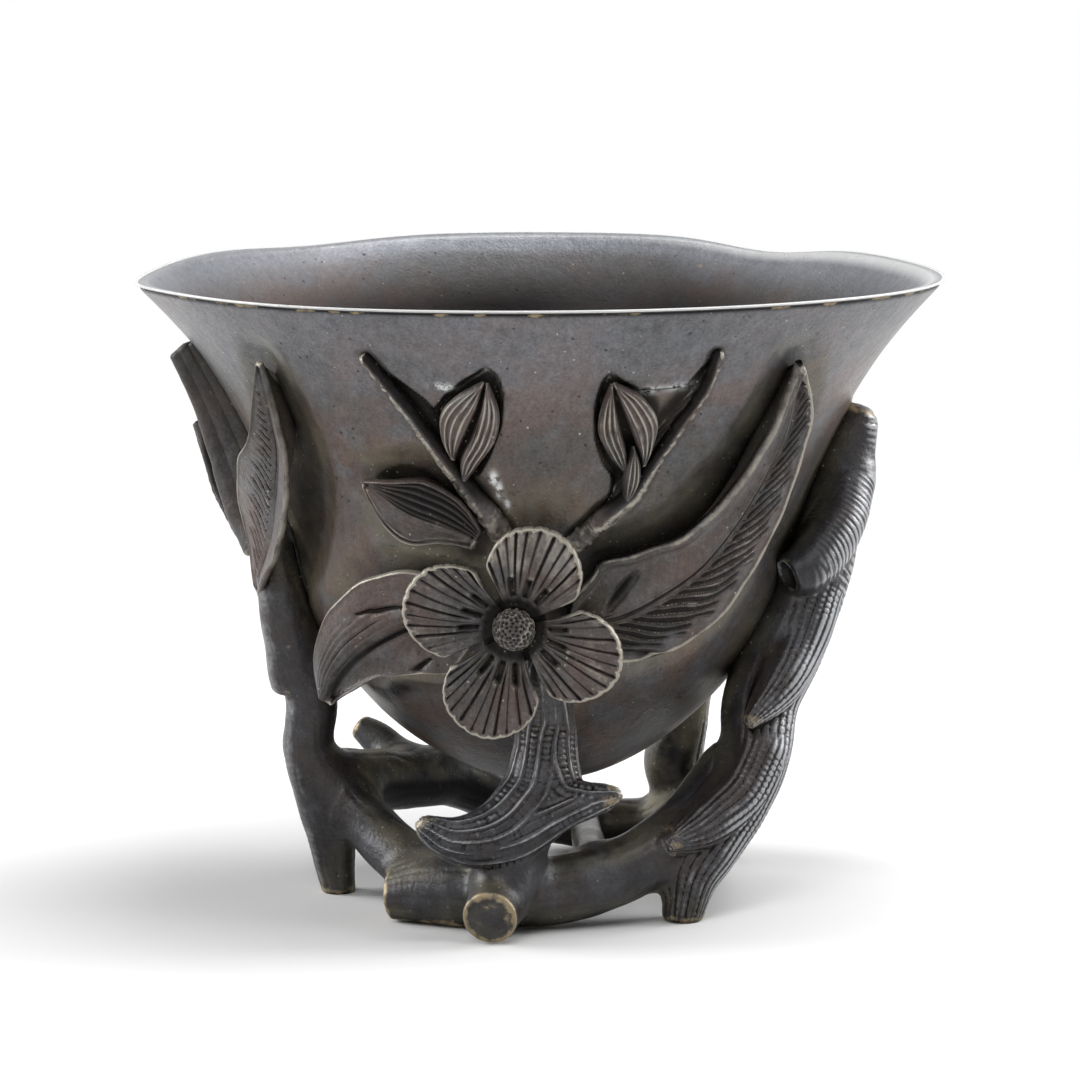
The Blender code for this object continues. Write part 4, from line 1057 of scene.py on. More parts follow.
def twig(name, runs, nick_depth, light_side):
    """Nicked twig on the wall, its runs in one mesh: light side -1 paints light along its left and shade
    over its right, 1 the other way round, 0 paints it evenly darker and keeps it unrubbed.
    """
    around = 24
    all_spots = []
    all_faces = []
    all_rubs_and_painted_light = []
    all_painted_shades = []
    first = 0
    for stations in runs:
        line = Line(smooth_rows(stations, 3))
        total = line.lengths[-1]
        count = max(int(total / TWIG_STEP), 12)
        length = np.linspace(0.0, total, count)
        spot = np.stack([np.interp(length, line.lengths, line.spots[:, k]) for k in range(3)], axis=1)
        side = unit(np.stack([np.interp(length, line.lengths, line.sides[:, k]) for k in range(3)], axis=1))
        along = unit(np.gradient(spot, axis=0))
        other = np.cross(along, side)
        radius = np.interp(length, line.lengths, line.radii)
        end = np.minimum(length, total - length)
        radius = radius * np.sqrt(1.0 - (1.0 - np.clip(end / 0.6, 0.0, 1.0)) ** 2)
        turn = np.arange(around) * 2.0 * math.pi / around
        ring = np.cos(turn)[None, :, None] * side[:, None] + np.sin(turn)[None, :, None] * other[:, None]
        flat = (spot[:, None] + ring * radius[:, None, None]).reshape(-1, 3)
        wander = cast_noise(flat, 1.6, 5)
        patch = smooth_step(-0.4, 0.6, cast_noise(flat, 2.2, 7))
        nicks = waves(np.repeat(length, around) / 0.55 + 0.6 * np.tile(np.sin(turn), count) + 1.1 * wander)
        height = nick_depth * (nicks * patch + 1.2 * cast_noise(flat, 0.6, 8))
        height = height + 0.08 * wander + 0.08 * cast_noise(flat, 2.6, 6)
        height = height * np.repeat(np.clip(end / 0.8, 0.0, 1.0), around)
        facing = ring.reshape(-1, 3)
        carved = flat + facing * height[:, None]
        gap, out = wall_gap(carved)
        all_spots.append(carved + out * np.maximum(0.0, -TWIG_ROOT - gap)[:, None])
        radial = unit(flat * (1.0, 1.0, 0.0))
        # Painted light along the lit side and painted shade over the other side
        toward = light_side * (facing[:, 0] * -radial[:, 1] + facing[:, 1] * radial[:, 0])
        dark_side = smooth_step(0.05, -0.45, toward) * np.repeat(smooth_step(3.0, 8.0, length), around)
        strip = np.repeat(0.12 + 0.43 * smooth_step(3.0, 8.0, length), around)
        all_rubs_and_painted_light.append(np.where(light_side, strip - 1.5 * dark_side, -1.0))
        all_painted_shades.append(np.where(light_side, 0.95 * dark_side, 0.5))
        all_faces.append(grid_faces(count, around, True) + first)
        first += len(flat)
    masks = {"rub_and_painted_light": np.concatenate(all_rubs_and_painted_light), "painted_shade": np.concatenate(all_painted_shades)}
    spots = np.vstack(all_spots)
    faces = np.vstack(all_faces)
    piece = add_piece(f"{name}_cast", spots, faces, RELIEF_BRONZE, 0.002, masks)
    return finish_piece(piece, 8)


TWIGS = {
    "left_twig": ([[
        on_wall(-7.6, 0.605, 0.2, 1.5), on_wall(-9.2, 0.632, 0.3, 1.5), on_wall(-12.4, 0.664, 0.3, 1.3),
        on_wall(-18.0, 0.734, 0.2, 1.1), on_wall(-22.9, 0.813, 0.1, 0.9), on_wall(-27.6, 0.908, 0.0, 0.8)]],
        0.11, -1),
    "right_twig": ([[
        on_wall(6.5, 0.592, 0.2, 1.3), on_wall(12.2, 0.632, 0.3, 1.4), on_wall(18.0, 0.672, 0.3, 1.2),
        on_wall(21.4, 0.72, 0.2, 0.9), on_wall(25.0, 0.783, 0.1, 0.8), on_wall(27.6, 0.842, 0.1, 0.8),
        on_wall(27.6, 0.915, 0.0, 0.7)]], 0.11, 1),
    "side_twig": ([[
        on_wall(-87.0, 0.875, 2.2, 1.2), on_wall(-86.5, 0.79, 3.0, 1.6), on_wall(-85.5, 0.71, 3.9, 1.9),
        on_wall(-84.0, 0.63, 4.2, 2.4), on_wall(-79.0, 0.55, 3.4, 2.5)],
        [on_wall(-86.6, 0.876, 1.0, 1.3), on_wall(-85.8, 0.78, 1.6, 1.9), on_wall(-84.5, 0.69, 2.2, 2.3),
         on_wall(-81.0, 0.60, 1.9, 2.4)],
        [on_wall(-86.2, 0.872, -0.2, 1.2), on_wall(-85.0, 0.77, 0.1, 1.9), on_wall(-83.5, 0.67, 0.4, 2.4),
         on_wall(-80.0, 0.58, 0.4, 2.4)]], 0.02, 0),
    "back_twig": ([[
        on_wall(161.0, 0.62, 0.4, 1.4), on_wall(164.0, 0.68, 0.5, 1.3), on_wall(169.0, 0.76, 0.4, 1.1),
        on_wall(171.0, 0.86, 0.3, 0.8)]], 0.06, 1),
}


# Flowers


class FlowerFrame:
    """Frame of a flower: across, up and out along its tilted axis."""

    def __init__(self, angle, share):
        self.spot, self.across, up, outward = wall_frame(angle, share)
        tilt = math.radians(FLOWER_TILT)
        self.axis = outward * math.cos(tilt) + up * math.sin(tilt)
        self.rise = up * math.cos(tilt) - outward * math.sin(tilt)

    def out(self, across, rise, height):
        """Places given in the frame, in the frame of the part."""
        return (self.spot + across[..., None] * self.across + rise[..., None] * self.rise
                + height[..., None] * self.axis)


def petal(name, flower_frame, turn, seed, light):
    """Fan shaped petal, cupped and fluted, with slots by the button and a raised scalloped rim."""
    columns = 121
    rows = 46
    flutes = 12
    flute_depth = 0.34
    flute_width = 0.27
    slots = 3
    slot_depth = 0.65
    slot_width = 0.42
    rim_height = 0.26
    even = np.linspace(-1.0, 1.0, columns)
    edge = (0.75 * even + 0.25 * np.sin(even * math.pi / 2))[None, :]
    even = np.linspace(0.0, 1.0, rows)
    part = (0.5 * even + 0.5 * np.sin(even * math.pi / 2))[:, None]
    fan = edge * math.radians(PETAL_HALF_FAN)
    beat = (0.5 + 0.5 * edge) * flutes + 0.16 * np.sin(edge * 7.0 + seed)
    beat = beat + 0.10 * np.sin(part * 3.0 + edge * 4.0 + seed)
    crest = np.abs(2.0 * (beat - np.floor(beat)) - 1.0)
    reach = PETAL_CENTRE * np.cos(fan)
    reach = reach + np.sqrt(np.maximum(PETAL_ROUND ** 2 - (PETAL_CENTRE * np.sin(fan)) ** 2, 0.0))
    reach = reach - 0.06 - 0.16 * (crest ** 4) * np.cos(fan) - 0.05 * np.sin(edge * 9.0 + 2.0 * seed)
    along = PETAL_INNER + (reach - PETAL_INNER) * part
    rim_gap = reach - along
    side_gap = along * (math.radians(PETAL_HALF_FAN) - np.abs(fan))
    gap = np.minimum(rim_gap, side_gap)
    reach_in = 0.20 + 1.1 * crest + 0.25 * np.sin(np.floor(beat) * 2.4 + seed)
    depth = flute_depth * smooth_step(3.2, 7.0, along) * smooth_step(reach_in, reach_in + 0.6, rim_gap)
    depth = depth * smooth_step(0.2, 0.6, side_gap)
    depth = depth * (0.72 + 0.28 * np.sin(np.floor(beat) * 4.1 + 2.0 * seed))
    channel = depth * (hump(crest, flute_width) + 0.22 * (1.0 - crest) ** 2)
    slot_turn = (edge + 0.08 * math.sin(seed * 2.0)) * slots / 1.5
    slot_away = np.abs(slot_turn - np.round(slot_turn)) * 1.5 / slots * math.radians(PETAL_HALF_FAN) * along
    slot = slot_depth * hump(slot_away, slot_width)
    slot = slot * smooth_step(3.6, 4.2, along) * smooth_step(6.9, 6.2, along)
    slot = slot * smooth_step(0.85, 0.7, np.abs(edge))
    rim = rim_height * hump(gap - 0.30, 0.30) * smooth_step(0.3, 0.6, part)
    moat = 0.5 * smooth_step(4.7, 3.0, along)
    middle = FLOWER_STAND + PETAL_THICKNESS / 2 + PETAL_CUP * (np.sin(1.8 * part) / math.sin(1.8)) ** 1.5
    middle = middle + 0.25 * np.sin(3.0 * fan + seed) * part
    round_edge = np.sqrt(1.0 - (1.0 - np.clip(gap / 0.4, 0.0, 1.0)) ** 2)
    top = middle + (PETAL_THICKNESS / 2 + rim - channel - slot - moat) * round_edge
    low = middle - (PETAL_THICKNESS / 2 + 0.35 * smooth_step(9.0, 5.0, along)) * round_edge
    aim = math.radians(turn) + fan
    across = along * np.cos(aim) + 0.36 * math.cos(math.radians(turn))
    rise = along * np.sin(aim) + 0.36 * math.sin(math.radians(turn))
    spots = np.vstack([flower_frame.out(across, rise, top).reshape(-1, 3),
                       flower_frame.out(across, rise, low).reshape(-1, 3)])
    faces = grid_faces(rows, columns, False)
    inner = np.arange(columns - 1)
    shut = np.stack([inner, inner + 1, inner + 1 + rows * columns, inner + rows * columns], axis=-1)
    faces = np.vstack([faces, faces[:, ::-1] + rows * columns, shut])
    # Rims and flute crests are rubbed light as wear and each petal gets its own painted light; the part by
    # the button and the slots get painted shade
    rub_and_painted_light = 0.6 * hump(rim_gap, 0.22) + 0.4 * smooth_step(1.8, 0.4, rim_gap) * crest ** 2
    rub_and_painted_light = rub_and_painted_light + 0.3 * hump(side_gap, 0.25) + 0.05 * crest ** 3 + light
    rub_and_painted_light = rub_and_painted_light * smooth_step(5.0, 9.0, along)
    painted_shade = np.maximum(0.9 * smooth_step(4.3, 3.4, along), 1.3 * slot)
    rub_and_painted_light = rub_and_painted_light - 1.5 * smooth_step(5.0, 4.2, along)
    masks = {"rub_and_painted_light": np.concatenate([rub_and_painted_light.ravel(), 0.0 * rub_and_painted_light.ravel() - 0.4]),
             "painted_shade": np.concatenate([painted_shade.ravel(), painted_shade.ravel()])}
    piece = add_piece(f"{name}_cast", spots, faces, RELIEF_BRONZE, 0.002, masks)
    return finish_piece(piece, 10)


def button(name, flower_frame):
    """Stippled dome in the middle of a flower."""
    around = 120
    rows = 60
    pit_count = 110
    pit_width = 0.075
    pit_depth = 0.12
    base = FLOWER_STAND + PETAL_THICKNESS + 0.2
    rise = np.linspace(0.0, math.pi / 2, rows)[:, None]
    turn = np.arange(around)[None, :] * 2.0 * math.pi / around
    dome = np.stack(np.broadcast_arrays(np.cos(rise) * np.cos(turn), np.cos(rise) * np.sin(turn),
                                        np.sin(rise)), axis=-1)
    number = np.arange(pit_count) + 0.5
    lift = number / pit_count
    spin = number * math.pi * (3.0 - math.sqrt(5.0))
    flat = np.sqrt(1.0 - lift ** 2)
    pins = np.stack([flat * np.cos(spin), flat * np.sin(spin), lift], axis=-1)
    pins = pins + np.random.default_rng(8).uniform(-0.05, 0.05, pins.shape)
    facing = dome.reshape(-1, 3) @ unit(pins).T
    away = np.sqrt(np.maximum(2.0 - 2.0 * facing, 0.0)).min(axis=1).reshape(rows, around)
    pits = hump(away, pit_width)
    swell = 0.94 - pit_depth * pits
    # The pits and the skirt under the dome get painted shade, and the tops between the pits are rubbed light
    masks = {"rub_and_painted_light": np.concatenate([np.zeros(around), (0.55 - 1.5 * pits).ravel()]),
             "painted_shade": np.concatenate([np.ones(around), (0.95 * pits).ravel()])}
    across = dome[..., 0] * BUTTON_RADIUS * swell
    up = dome[..., 1] * BUTTON_RADIUS * swell
    height = base + dome[..., 2] * BUTTON_RISE * swell
    skirt = flower_frame.out(across[0] * 0.96, up[0] * 0.96, height[0] - 0.9)
    spots = np.vstack([skirt, flower_frame.out(across, up, height).reshape(-1, 3)])
    faces = grid_faces(rows + 1, around, True)
    piece = add_piece(f"{name}_cast", spots, faces, RELIEF_BRONZE, 0.002, masks)
    return finish_piece(piece, 30)


def calyx(name, flower_frame):
    """Ribbed cup under a flower, from the wall to the petals."""
    around = 60
    rings = 14
    lid_rings = 8
    heights = np.linspace(-1.0, FLOWER_STAND + 0.3, rings)[:, None]
    turn = np.arange(around)[None, :] * 2.0 * math.pi / around
    part = (heights + 1.0) / (FLOWER_STAND + 1.3)
    radius = 3.0 + 1.3 * part ** 2 + 0.14 * np.cos(10.0 * turn)
    spots = flower_frame.out(radius * np.cos(turn), radius * np.sin(turn),
                             np.broadcast_to(heights, radius.shape))
    inward = np.linspace(0.85, 0.0, lid_rings)[:, None]
    lid = flower_frame.out(inward * radius[-1] * np.cos(turn), inward * radius[-1] * np.sin(turn),
                           FLOWER_STAND + 0.3 + 0.2 * (1.0 - inward) + 0.0 * turn)
    spots = np.vstack([spots.reshape(-1, 3), lid.reshape(-1, 3)])
    # Painted shade over the top of the calyx and its lid, between the petals, and no rubbing
    painted_shade = np.concatenate([np.repeat(smooth_step(0.55, 0.85, part[:, 0]), around),
                            np.ones(lid_rings * around)])
    masks = {"painted_shade": painted_shade, "rub_and_painted_light": -2.0 * np.ones(len(spots))}
    faces = grid_faces(rings + lid_rings, around, True)
    piece = add_piece(f"{name}_cast", spots, faces, RELIEF_BRONZE, 0.002, masks)
    return finish_piece(piece, 6)


# Painted light on each petal, most on the top one
PETAL_PAINTED_LIGHT = {"top": 0.56, "left": 0.38, "bottom": 0.26, "right": 0.34}


def flower(prefix, angle, share, turn):
    """All the pieces of one flower."""
    flower_frame = FlowerFrame(angle, share)
    pieces = [calyx(f"{prefix}_calyx", flower_frame), button(f"{prefix}_button", flower_frame)]
    for number, (label, light) in enumerate(PETAL_PAINTED_LIGHT.items()):
        heading = turn + 90.0 * number
        pieces.append(petal(f"{prefix}_petal_{label}", flower_frame, heading, number + 3, light))
    return pieces


# Leaves and buds


class LeafPlace(NamedTuple):
    """Where each corner of a leaf lies: along it, out from its rib, in from its edge, and on the wall."""
    along: np.ndarray
    reach: np.ndarray
    left: np.ndarray
    right: np.ndarray
    gap: np.ndarray
    angle: np.ndarray
    share: np.ndarray


def finger_veins(place, blade, spacing, slant, depth, start, stop):
    """Rounded ridges running out from the rib over one blade (-1 left, 1 right), fading before its edge."""
    out = place.reach * blade
    half = np.where(blade < 0, place.left, place.right)
    beat = (place.along - out * slant) / spacing
    beat = beat + 0.12 * np.sin(place.along * 0.8) + 0.08 * np.sin(out * 1.7)
    first = smooth_step(start, start + 0.5, out)
    last = smooth_step(stop, stop - 0.35, out / half + 0.08 * np.sin(place.along * 1.9))
    return depth * waves(beat) * first * last


def long_ridges(place, blade, count, depth):
    """Ridges that run the length of one blade and meet at its ends."""
    out = place.reach * blade
    half = np.maximum(np.where(blade < 0, place.left, place.right), 0.05)
    beat = np.clip(out / half, 0.0, 1.0) * count
    shown = smooth_step(0.0, 0.25, out) * smooth_step(0.0, 0.35, place.gap)
    return depth * waves(beat) * shown * np.clip(half / count / 0.6, 0.0, 1.0)


def thin_lines(place, count, height):
    """Fine raised lines from end to end of a bud."""
    width = place.left + place.right
    beat = (place.reach + place.left) / width * count
    away = np.abs(beat - np.round(beat)) * width / count
    return height * hump(away, 0.13) * np.clip(width / count / 0.5, 0.0, 1.0)


def rib_cord(place, width, height, groove, blade):
    """Raised rib with fine lines along it and a groove beside it on one blade."""
    out = place.reach * blade
    cord = hump(place.reach, width)
    fine = 0.05 * np.cos(place.reach * 2.0 * math.pi / 0.42) * hump(place.reach, 2.0 * width)
    return height * cord + fine - groove * hump(out - 1.5 * width, 0.6 * width)


def slit(place, start, end, width, depth):
    """Cut between two places on the wall, tapering at both ends."""
    radius = wall_line(0.5 * (start[1] + end[1]))[0]
    spot = np.stack([np.radians(place.angle) * radius, place.share * WALL_LENGTH], axis=-1)
    first = np.array([math.radians(start[0]) * radius, start[1] * WALL_LENGTH])
    run = np.array([math.radians(end[0]) * radius, end[1] * WALL_LENGTH]) - first
    part = np.clip((spot - first) @ run / (run @ run), 0.0, 1.0)
    away = np.linalg.norm(spot - first - part[..., None] * run, axis=-1)
    swell = 0.35 + 0.65 * np.sin(math.pi * np.clip(part * 0.9 + 0.02, 0.0, 1.0))
    return -depth * swell * hump(away, width * swell)


def right_leaf_cuts(place):
    """Rolled upper edge, cord rib, fingers over the lower blade and two slits by the flower."""
    from_edge = place.reach + place.left
    roll = 0.45 * hump(from_edge - 0.8, 0.6) - 0.25 * hump(from_edge - 2.6, 1.0)
    from_lower = place.right - place.reach
    lower_rim = hump(from_lower - 0.45, 0.45)
    slits = (slit(place, (13.8, 0.502), (19.6, 0.562), 0.50, 0.65)
             + slit(place, (19.4, 0.440), (36.0, 0.424), 0.45, 0.55))
    fingers = finger_veins(place, 1, 1.85, 1.3, 1.0, 0.9, 0.88)
    carved = roll + 0.4 * lower_rim + slits + rib_cord(place, 0.55, 0.14, 0.50, 1) + 0.75 * fingers
    # Painted light over the upper blade and its edge, the lower blade kept darker, the lower rim rubbed
    # light as wear and painted highlight, and painted shade in the fingers and slits
    blade = 0.35 * smooth_step(0.4, 1.6, -place.reach)
    rub_and_painted_light = blade + 0.55 * hump(from_edge - 0.4, 0.3) - 0.4 * smooth_step(0.2, 0.8, place.reach)
    rub_and_painted_light = rub_and_painted_light + 2.0 * lower_rim + 1.2 * slits
    return carved, rub_and_painted_light, np.clip(np.maximum(-2.2 * fingers, -2.0 * slits), 0.0, 1.0)


def lower_left_leaf_cuts(place):
    """Curved rib groove, fine lines over the upper blade and two slits by the flower."""
    upper = np.clip(place.reach / place.right, 0.0, 1.0)
    bulge = 0.7 * np.sin(math.pi * upper ** 0.8)
    dip = -0.5 * np.sin(math.pi * np.clip(-place.reach / place.left, 0.0, 1.0))
    near_rib = smooth_step(0.75, 0.45, upper)
    carved = (bulge + dip + rib_cord(place, 0.55, -0.55, 0.0, 1) + long_ridges(place, 1, 9, 0.26) * near_rib
              + finger_veins(place, -1, 2.1, 1.6, 0.10, 0.6, 0.9)
              + slit(place, (-41.5, 0.492), (-29.0, 0.505), 0.46, 0.75)
              + slit(place, (-36.0, 0.385), (-26.5, 0.422), 0.42, 0.75))
    # The upper part of the upper blade is rubbed light, and the rib groove gets painted shade
    groove = 0.8 * hump(place.reach, 0.45) * smooth_step(0.5, 1.5, place.gap)
    return carved, 0.30 * smooth_step(0.55, 0.9, upper) - 0.1, groove


def curled_leaf_cuts(place):
    """Deep ridges along the upper blade, fine lines and a double border on the lower one; the upper blade
    gets painted shade and the border is rubbed light.
    """
    lower = smooth_step(0.0, -0.6, place.reach)
    border = 0.20 * hump(place.gap - 0.3, 0.22) + 0.16 * hump(place.gap - 1.15, 0.22)
    upper = smooth_step(0.0, 0.5, place.reach) * smooth_step(0.1, 0.5, place.gap)
    count = 5.0
    beat = np.clip(place.reach / place.right, 0.0, 1.0) * count
    away = np.abs(beat - np.round(beat)) * place.right / count
    lines = hump(away, 0.16) * upper
    carved = (0.26 * lines - 0.25 * upper + long_ridges(place, -1, 7, 0.12) + border * lower
              - 0.40 * hump(place.reach, 0.35) * smooth_step(0.2, 0.8, place.gap))
    rub_and_painted_light = 0.25 * lines - 0.5 * upper + (0.25 + 1.4 * border) * lower
    return carved, rub_and_painted_light, upper * (1.0 - 0.6 * lines)


def side_leaf_cuts(place):
    """Rib groove near the right edge and short slanting veins left of it."""
    veins = finger_veins(place, -1, 1.45, 0.9, 1.0, 0.5, 0.72)
    carved = rib_cord(place, 0.5, -0.36, 0.0, 1) + 0.5 * veins
    # The left of the blade is rubbed light a little, and the vein grooves get painted shade
    rub_and_painted_light = 0.15 * smooth_step(0.5, 0.8, -place.reach / place.left)
    return carved, rub_and_painted_light, np.clip(-1.2 * veins - 0.2, 0.0, 0.8)


def small_leaf_cuts(place):
    """Rib and shallow veins on both blades."""
    veins = sum(finger_veins(place, blade, 1.5, 1.0, 0.26, 0.4, 0.85) for blade in (-1, 1))
    # The vein grooves get painted shade
    return rib_cord(place, 0.4, -0.26, 0.0, 1) + veins, 0.0 * veins, np.clip(-4.0 * veins - 0.2, 0.0, 0.6)


def bud_cuts(place):
    """Fine raised lines from the foot of a bud to its tip."""
    lines = thin_lines(place, 4, 0.22)
    # The raised lines are rubbed light, as wear and painted highlight
    return lines, 0.30 + 1.9 * lines, 0.0 * lines


# Mesh steps of a leaf along and across it, in mm
LEAF_STEP = 0.23
LEAF_STEP_ACROSS = 0.19


def leaf(name, stations, cuts, left_light, right_light):
    """Leaf or bud lobe shaped over the bowl with its carving cut in, its edges rubbed light as wear and
    painted highlight, and painted shade where its cuts ask.
    """
    run = smooth_rows(stations, 80)
    radius = wall_line(run[:, 1])[0]
    steps = np.hypot(np.radians(np.diff(run[:, 0])) * radius[1:], np.diff(run[:, 1]) * WALL_LENGTH)
    length = np.concatenate([[0.0], np.cumsum(steps)])
    rows = int(np.clip(length[-1] / LEAF_STEP, 50, 270))
    columns = int(np.clip((run[:, 2] + run[:, 3]).max() / LEAF_STEP_ACROSS, 31, 85))
    even = np.linspace(0.0, 1.0, rows)
    wanted = (0.7 * even + 0.15 * (1.0 - np.cos(math.pi * even))) * length[-1]
    columns_of_run = [np.interp(wanted, length, column)[:, None] for column in run.T]
    angle, share, left, right, left_height, rib_height, right_height = columns_of_run
    along = wanted[:, None]
    left = left * (1.0 + 0.012 * np.sin(along * 0.9 + 1.0))
    right = right * (1.0 + 0.012 * np.sin(along * 1.1 + 2.0))
    left = np.maximum(left, 0.05)
    right = np.maximum(right, 0.05)
    radius = wall_line(share)[0]
    run_across = np.gradient(np.radians(angle[:, 0]))[:, None] * radius
    run_up = np.gradient(share[:, 0])[:, None] * WALL_LENGTH
    pace = np.hypot(run_across, run_up)
    even = np.linspace(-1.0, 1.0, columns)
    side = (0.6 * even + 0.4 * np.sin(even * math.pi / 2))[None, :]
    half = np.where(side < 0, left, right)
    reach = side * half
    edge = np.where(side < 0, left_height, right_height)
    height = rib_height + (edge - rib_height) * np.abs(side) ** 1.4
    place_angle = angle + np.degrees(reach * run_up / pace / radius)
    place_share = share - reach * run_across / pace / WALL_LENGTH
    gap = np.minimum((1.0 - np.abs(side)) * half, np.minimum(along, length[-1] - along))
    spread = 0.0 * reach
    place = LeafPlace(along + spread, reach, left + spread, right + spread, gap, place_angle, place_share)
    inside = smooth_step(0.10, 0.55, gap)
    rim = 0.15 * hump(gap - 0.28, 0.24)
    round_edge = np.sqrt(1.0 - (1.0 - np.clip(gap / 0.35, 0.0, 1.0)) ** 2)
    middle = height - LEAF_THICKNESS / 2
    carved, rub_and_painted_light, painted_shade = cuts(place)
    flat = np.stack([place.along, reach, 0.0 * reach], axis=-1).reshape(-1, 3)
    worked = (0.07 * cast_noise(flat, 2.6, 31) + 0.03 * cast_noise(flat, 1.0, 32)).reshape(reach.shape)
    top = middle + (LEAF_THICKNESS / 2 + (carved + worked) * inside + rim) * round_edge
    seated = smooth_step(4.0, 2.5, height) * smooth_step(0.4, 1.8, gap)
    low = middle - LEAF_THICKNESS / 2 * round_edge - np.maximum(height - LEAF_THICKNESS + 1.0, 0.0) * seated
    top_spots = wall_point(place_angle, place_share, top).reshape(-1, 3)
    low_spots = wall_point(place_angle, place_share, low).reshape(-1, 3)
    faces = grid_faces(rows, columns, False)
    edge_rub_and_highlight = np.where(side < 0, left_light, right_light) * hump(np.maximum(gap - 0.2, 0.0), 0.2)
    edge_rub_and_highlight = edge_rub_and_highlight.ravel()
    masks = {"rub_and_painted_light": np.concatenate([(rub_and_painted_light * inside).ravel() + edge_rub_and_highlight, edge_rub_and_highlight]),
             "painted_shade": np.concatenate([(painted_shade * inside).ravel(), 0.0 * edge_rub_and_highlight])}
    spots = np.vstack([top_spots, low_spots])
    faces = np.vstack([faces, faces[:, ::-1] + len(top_spots)])
    piece = add_piece(f"{name}_cast", spots, faces, RELIEF_BRONZE, 0.01, masks)
    return finish_piece(piece, 8)


